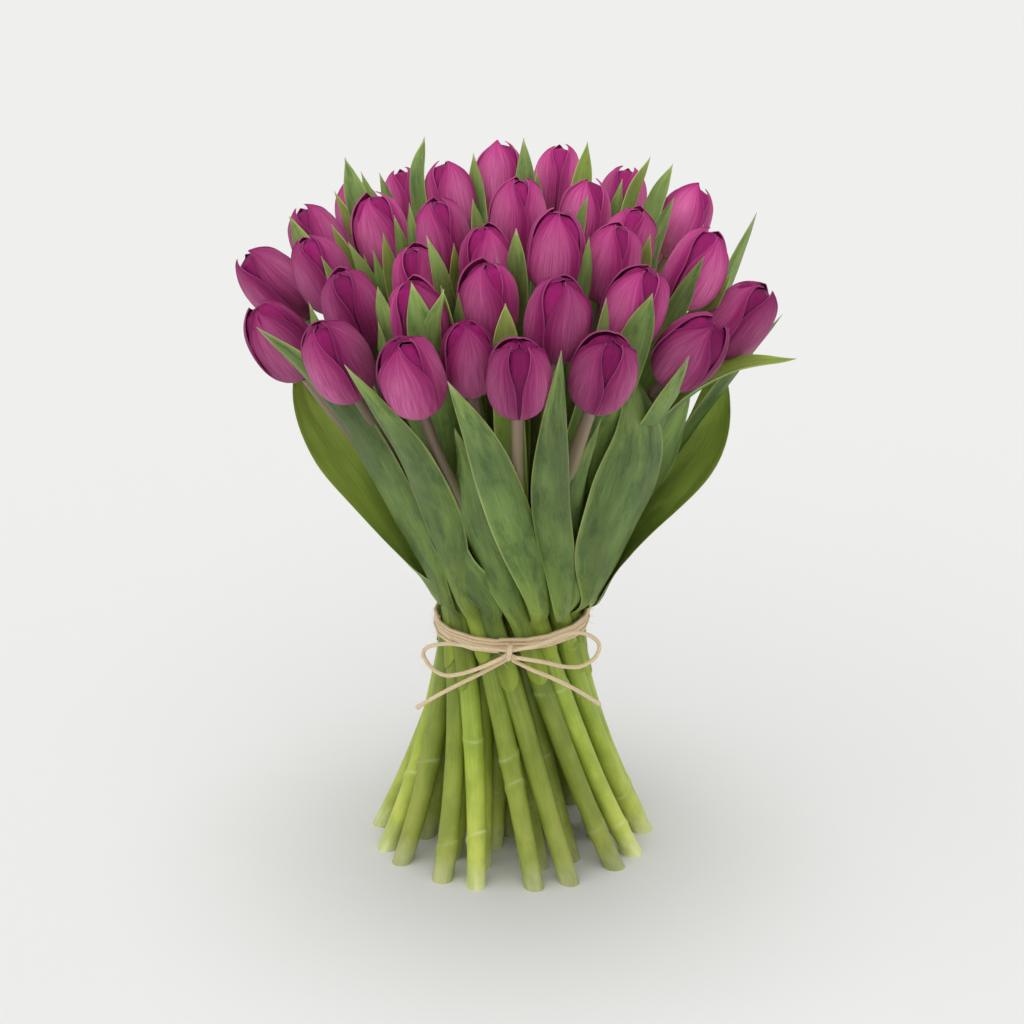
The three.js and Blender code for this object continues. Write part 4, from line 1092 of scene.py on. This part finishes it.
def taut_point(angle, off):
    out = np.array([math.cos(angle), math.sin(angle), 0])
    outermost = max(SEATS, key=lambda seat: out[0] * seat[2][0] + out[1] * seat[2][1])
    return np.array([*outermost[2], 0.0]) + out * (STEM_TIE + off)


WRAP_STEP = math.radians(1.3)
WRAP_WIDTH = 1.95
WRAP_WANDER = [(0.5, 1.7, 0.6), (0.35, 3.1, 0.0)]  # size, waves for each radian round, and phase
WRAP_STAGGER = 0.35  # how far every other turn stands out
WRAP_LOOSE = (0.25, 2.3)  # a slower in and out, and its waves for each radian
WRAP_SMOOTHING = 5
KNOT_WIDTH = 3.0
KNOT_TURN = (0.5, -3.4, 3.3)  # reach of the turn over the knot in x, y and z
KNOT_TURN_AT = -1.5  # how far in front of the knot's middle
KNOT_UNDER = -2.2
KNOT_STEPS = 40
CROSSING_STEPS = 14
# Where each strand goes into the knot and comes out of it, and its height at the knot's middle.
KNOT_CROSSINGS = [
    ((-5.2, -47.6, 131.8), (2.2, -47.6, 131.8), 1.2),
    ((-5.2, -49.2, 128.0), (0.9, -46.4, 124.8), -1.0),
    ((2.2, -49.2, 128.0), (-3.9, -46.4, 124.8), -1.6),
]


def wraps_line():
    """Five turns, from the knot round and down and back to the knot."""
    turns = np.arange(-math.pi / 2, -math.pi / 2 + WRAPS * 2 * math.pi, WRAP_STEP)
    line = []
    for angle in turns:
        share = (angle - turns[0]) / (turns[-1] - turns[0])
        level = WRAPS / 2 - 0.5 - share * (WRAPS - 1)
        pitch = mix(WRAP_PITCH["sides"], WRAP_PITCH["front"], max(0, -math.sin(angle)) ** 2)
        wander = sum(size * math.sin(waves * angle + phase) for size, waves, phase in WRAP_WANDER)
        stack = WRAP_STAGGER * math.cos(math.pi * level) + WRAP_LOOSE[0] * math.sin(WRAP_LOOSE[1] * angle)
        point = taut_point(angle, GAP + LEAN_ROOM + TWINE / 2 + stack)
        point[2] = TIE_HEIGHT + WRAP_RISE * math.cos(angle) + level * pitch + wander / 2
        line.append(point)
    return settled(np.array(line), WRAP_SMOOTHING)


def settled(line, rounds):
    """Rounds off the corners of a line, its ends kept."""
    for _ in range(rounds):
        line[1:-1] = (line[:-2] + 2 * line[1:-1] + line[2:]) / 4
    return line


def knot_lines():
    """The turn of the knot over the strands, and the strands that cross under it."""
    turn = np.linspace(0, 2 * math.pi, KNOT_STEPS)
    x, y, z = KNOT_TURN
    over = np.stack([x * np.sin(turn), KNOT_TURN_AT + y * np.cos(turn), z * np.sin(turn)], axis=1)
    lines = [KNOT_AT + over]
    for start, end, height in KNOT_CROSSINGS:
        lines.append(Path([start, KNOT_AT + np.array([0, KNOT_UNDER, height]), end]).even(CROSSING_STEPS))
    return lines


FIBRE_POINTS = 7
FIBRE_ANGLES = (0, 2.1, 4.2)
FIBRE_RADIUS = 0.1
FIBRE_THINNER = 0.6  # share of its thickness lost at the tip
FIBRE_LENGTH = (1.5, 5)
FIBRE_BEND = (-0.7, 0.7)
FIBRE_OUT = (0.3, 1)  # shares of the ways that it points
FIBRE_ALONG = (-1.2, 1.2)
FIBRE_UP = (-0.6, 0.9)
FIBRE_PALE = 0.6
FIBRE_ROOT = 0.4  # of the twine's width, out from its middle
FIBRES_ON_WRAPS = 150
FIBRES_ON_LOOSE = 16


def add_fibre(sheet, start, way, length, rng):
    """One stray hair, thin and bent."""
    side = unit(np.cross(way, [rng.uniform(-1, 1), rng.uniform(-1, 1), 0.6]))
    bend = rng.uniform(*FIBRE_BEND)
    t = np.linspace(0, 1, FIBRE_POINTS)[:, None]
    line = start + way * length * t + side * bend * length * t * t
    other = np.cross(way, side)
    round_it = [math.cos(a) * side + math.sin(a) * other for a in FIBRE_ANGLES]
    rings = line[:, None] + (FIBRE_RADIUS * (1 - FIBRE_THINNER * t))[:, :, None] * np.array(round_it)
    marks = marks_of(rings.shape[:2], 0, 0, FIBRE_PALE, rng.random())
    sheet.grid(rings, marks, np.zeros((FIBRE_POINTS, len(FIBRE_ANGLES) + 1, 2)), wrap=True)


def fibres_on(sheet, line, count, rng):
    """Hairs that stand off a strand, outward and a little along it."""
    for _ in range(count):
        k = rng.randrange(2, len(line) - 2)
        along = unit(line[k + 1] - line[k - 1])
        outward = unit(np.array([line[k][0], line[k][1], 0.0]))
        way = outward * rng.uniform(*FIBRE_OUT) + along * rng.uniform(*FIBRE_ALONG)
        way = unit(way + np.array([0, 0, rng.uniform(*FIBRE_UP)]))
        add_fibre(sheet, line[k] + outward * TWINE * FIBRE_ROOT, way, rng.uniform(*FIBRE_LENGTH), rng)


def twine():
    rng = random.Random(SEEDS["twine"])
    sheet = Sheet()
    wraps = wraps_line()
    add_twine(sheet, wraps, rng, WRAP_WIDTH, painted_packing_share=1.0)
    for line, width in zip(knot_lines(), (KNOT_WIDTH, TWINE, TWINE, TWINE)):
        add_twine(sheet, line, rng, width)
    fibres_on(sheet, wraps, FIBRES_ON_WRAPS, rng)
    piece = sheet.build("twine_turns_and_knot", [JUTE])
    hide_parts("twine_wraps_knot")
    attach(piece, "root")
    for name, (far_end, points) in TWINE_ENDS.items():
        loose_twine(name, far_end, points, rng)


CORD_POINTS = 24
LOOSE_STEP = 0.8
LOOSE_FRAY = {"object": 0.0, "bare": 0.25}


def loose_twine(name, far_end, points, rng):
    """A bow loop or a tail, as a cord, with its own stray fibres."""
    path = Path(points)
    line = path.even(CORD_POINTS)
    length = np.linalg.norm(np.diff(line, axis=0), axis=1).sum()
    fine = path.even(int(length / LOOSE_STEP))
    sheet = Sheet()
    add_twine(sheet, fine, rng, ends=float(far_end == "bare"), fray=LOOSE_FRAY[far_end])
    piece = sheet.build(f"loose_{name}", [JUTE])
    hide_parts(name)
    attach(piece, "root")
    sheet = Sheet()
    fibres_on(sheet, fine, FIBRES_ON_LOOSE, rng)
    fibres = sheet.build(f"fibres_{name}", [JUTE])
    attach(fibres, "root")
    line = (line - MIDDLE) * MM
    tuple(line[0])
    [tuple(p) for p in line]


# ---- Camera, floor and light ----


def place_camera():
    data = bpy.data.cameras.new("view")
    data.sensor_width = SENSOR
    data.lens = FOCAL_PIXELS / FRAME_PIXELS * SENSOR
    data.shift_y = -(FRAME_PIXELS / 2 - AIM_PIXEL_Y) / FRAME_PIXELS
    data.clip_end = 100
    camera = place_object("view", data)
    up = math.radians(CAMERA_ELEVATION)
    eye = CAMERA_AIM + CAMERA_DISTANCE * np.array([0, -math.cos(up), math.sin(up)])
    camera.location = (eye - MIDDLE) * MM
    camera.rotation_euler = (math.pi / 2 - up, 0, 0)
    bpy.context.scene.camera = camera


# Direction and height of each soft light in degrees, its strength, and how wide it looks.
SUNS = {"key": (-34, 62, 1.25, 80), "fill": (60, 35, 0.35, 120), "top": (180, 84, 0.9, 34)}
# Brightness of the room by the sine of the height above the horizon: walls bright, ceiling dim.
ROOM = [(0.0, 1.0), (0.3, 1.0), (0.62, 0.8), (0.82, 0.3), (1.0, 0.22)]
SKY_STRENGTH = 0.7


def room_light():
    """Light from the walls of a pale room, less from its ceiling."""
    world = bpy.data.worlds.new("soft_room")
    world.use_nodes = True
    tree = world.node_tree
    way = tree.nodes.new("ShaderNodeTexCoord")
    split = tree.nodes.new("ShaderNodeSeparateXYZ")
    tree.links.new(way.outputs["Generated"], split.inputs[0])
    ramp = tree.nodes.new("ShaderNodeValToRGB")
    tree.links.new(split.outputs["Z"], ramp.inputs[0])
    fill_ramp(ramp, [(place, [level] * 3) for place, level in ROOM])
    surface = tree.nodes["Background"]
    tree.links.new(ramp.outputs[0], surface.inputs[0])
    surface.inputs[1].default_value = SKY_STRENGTH
    bpy.context.scene.world = world


def soft_lights():
    for name, (turn, height, strength, spread) in SUNS.items():
        data = bpy.data.lights.new(f"soft_{name}", "SUN")
        data.energy = strength
        data.angle = math.radians(spread)
        light = place_object(f"soft_{name}", data)
        light.rotation_euler = (math.radians(90 - height), 0, math.radians(turn))


FLOOR_REACH = 12.0  # metres


def plain_floor():
    mesh = bpy.data.meshes.new("floor")
    corners = [(x * FLOOR_REACH, y * FLOOR_REACH, 0) for x, y in ((-1, -1), (1, -1), (1, 1), (-1, 1))]
    mesh.from_pydata(corners, [], [(0, 1, 2, 3)])
    mesh.materials.append(floor_material())
    floor = place_object("floor", mesh)


def plain_colours():
    """Colours come out as they are set, without a film look."""
    settings = bpy.context.scene.view_settings
    settings.view_transform = "Standard"
    settings.look = "None"


# ---- The scene ----

place_camera()
twine()
for number in range(len(TULIPS)):
    bloom(number)
leafy_stems()
room_light()
soft_lights()
plain_floor()
plain_colours()
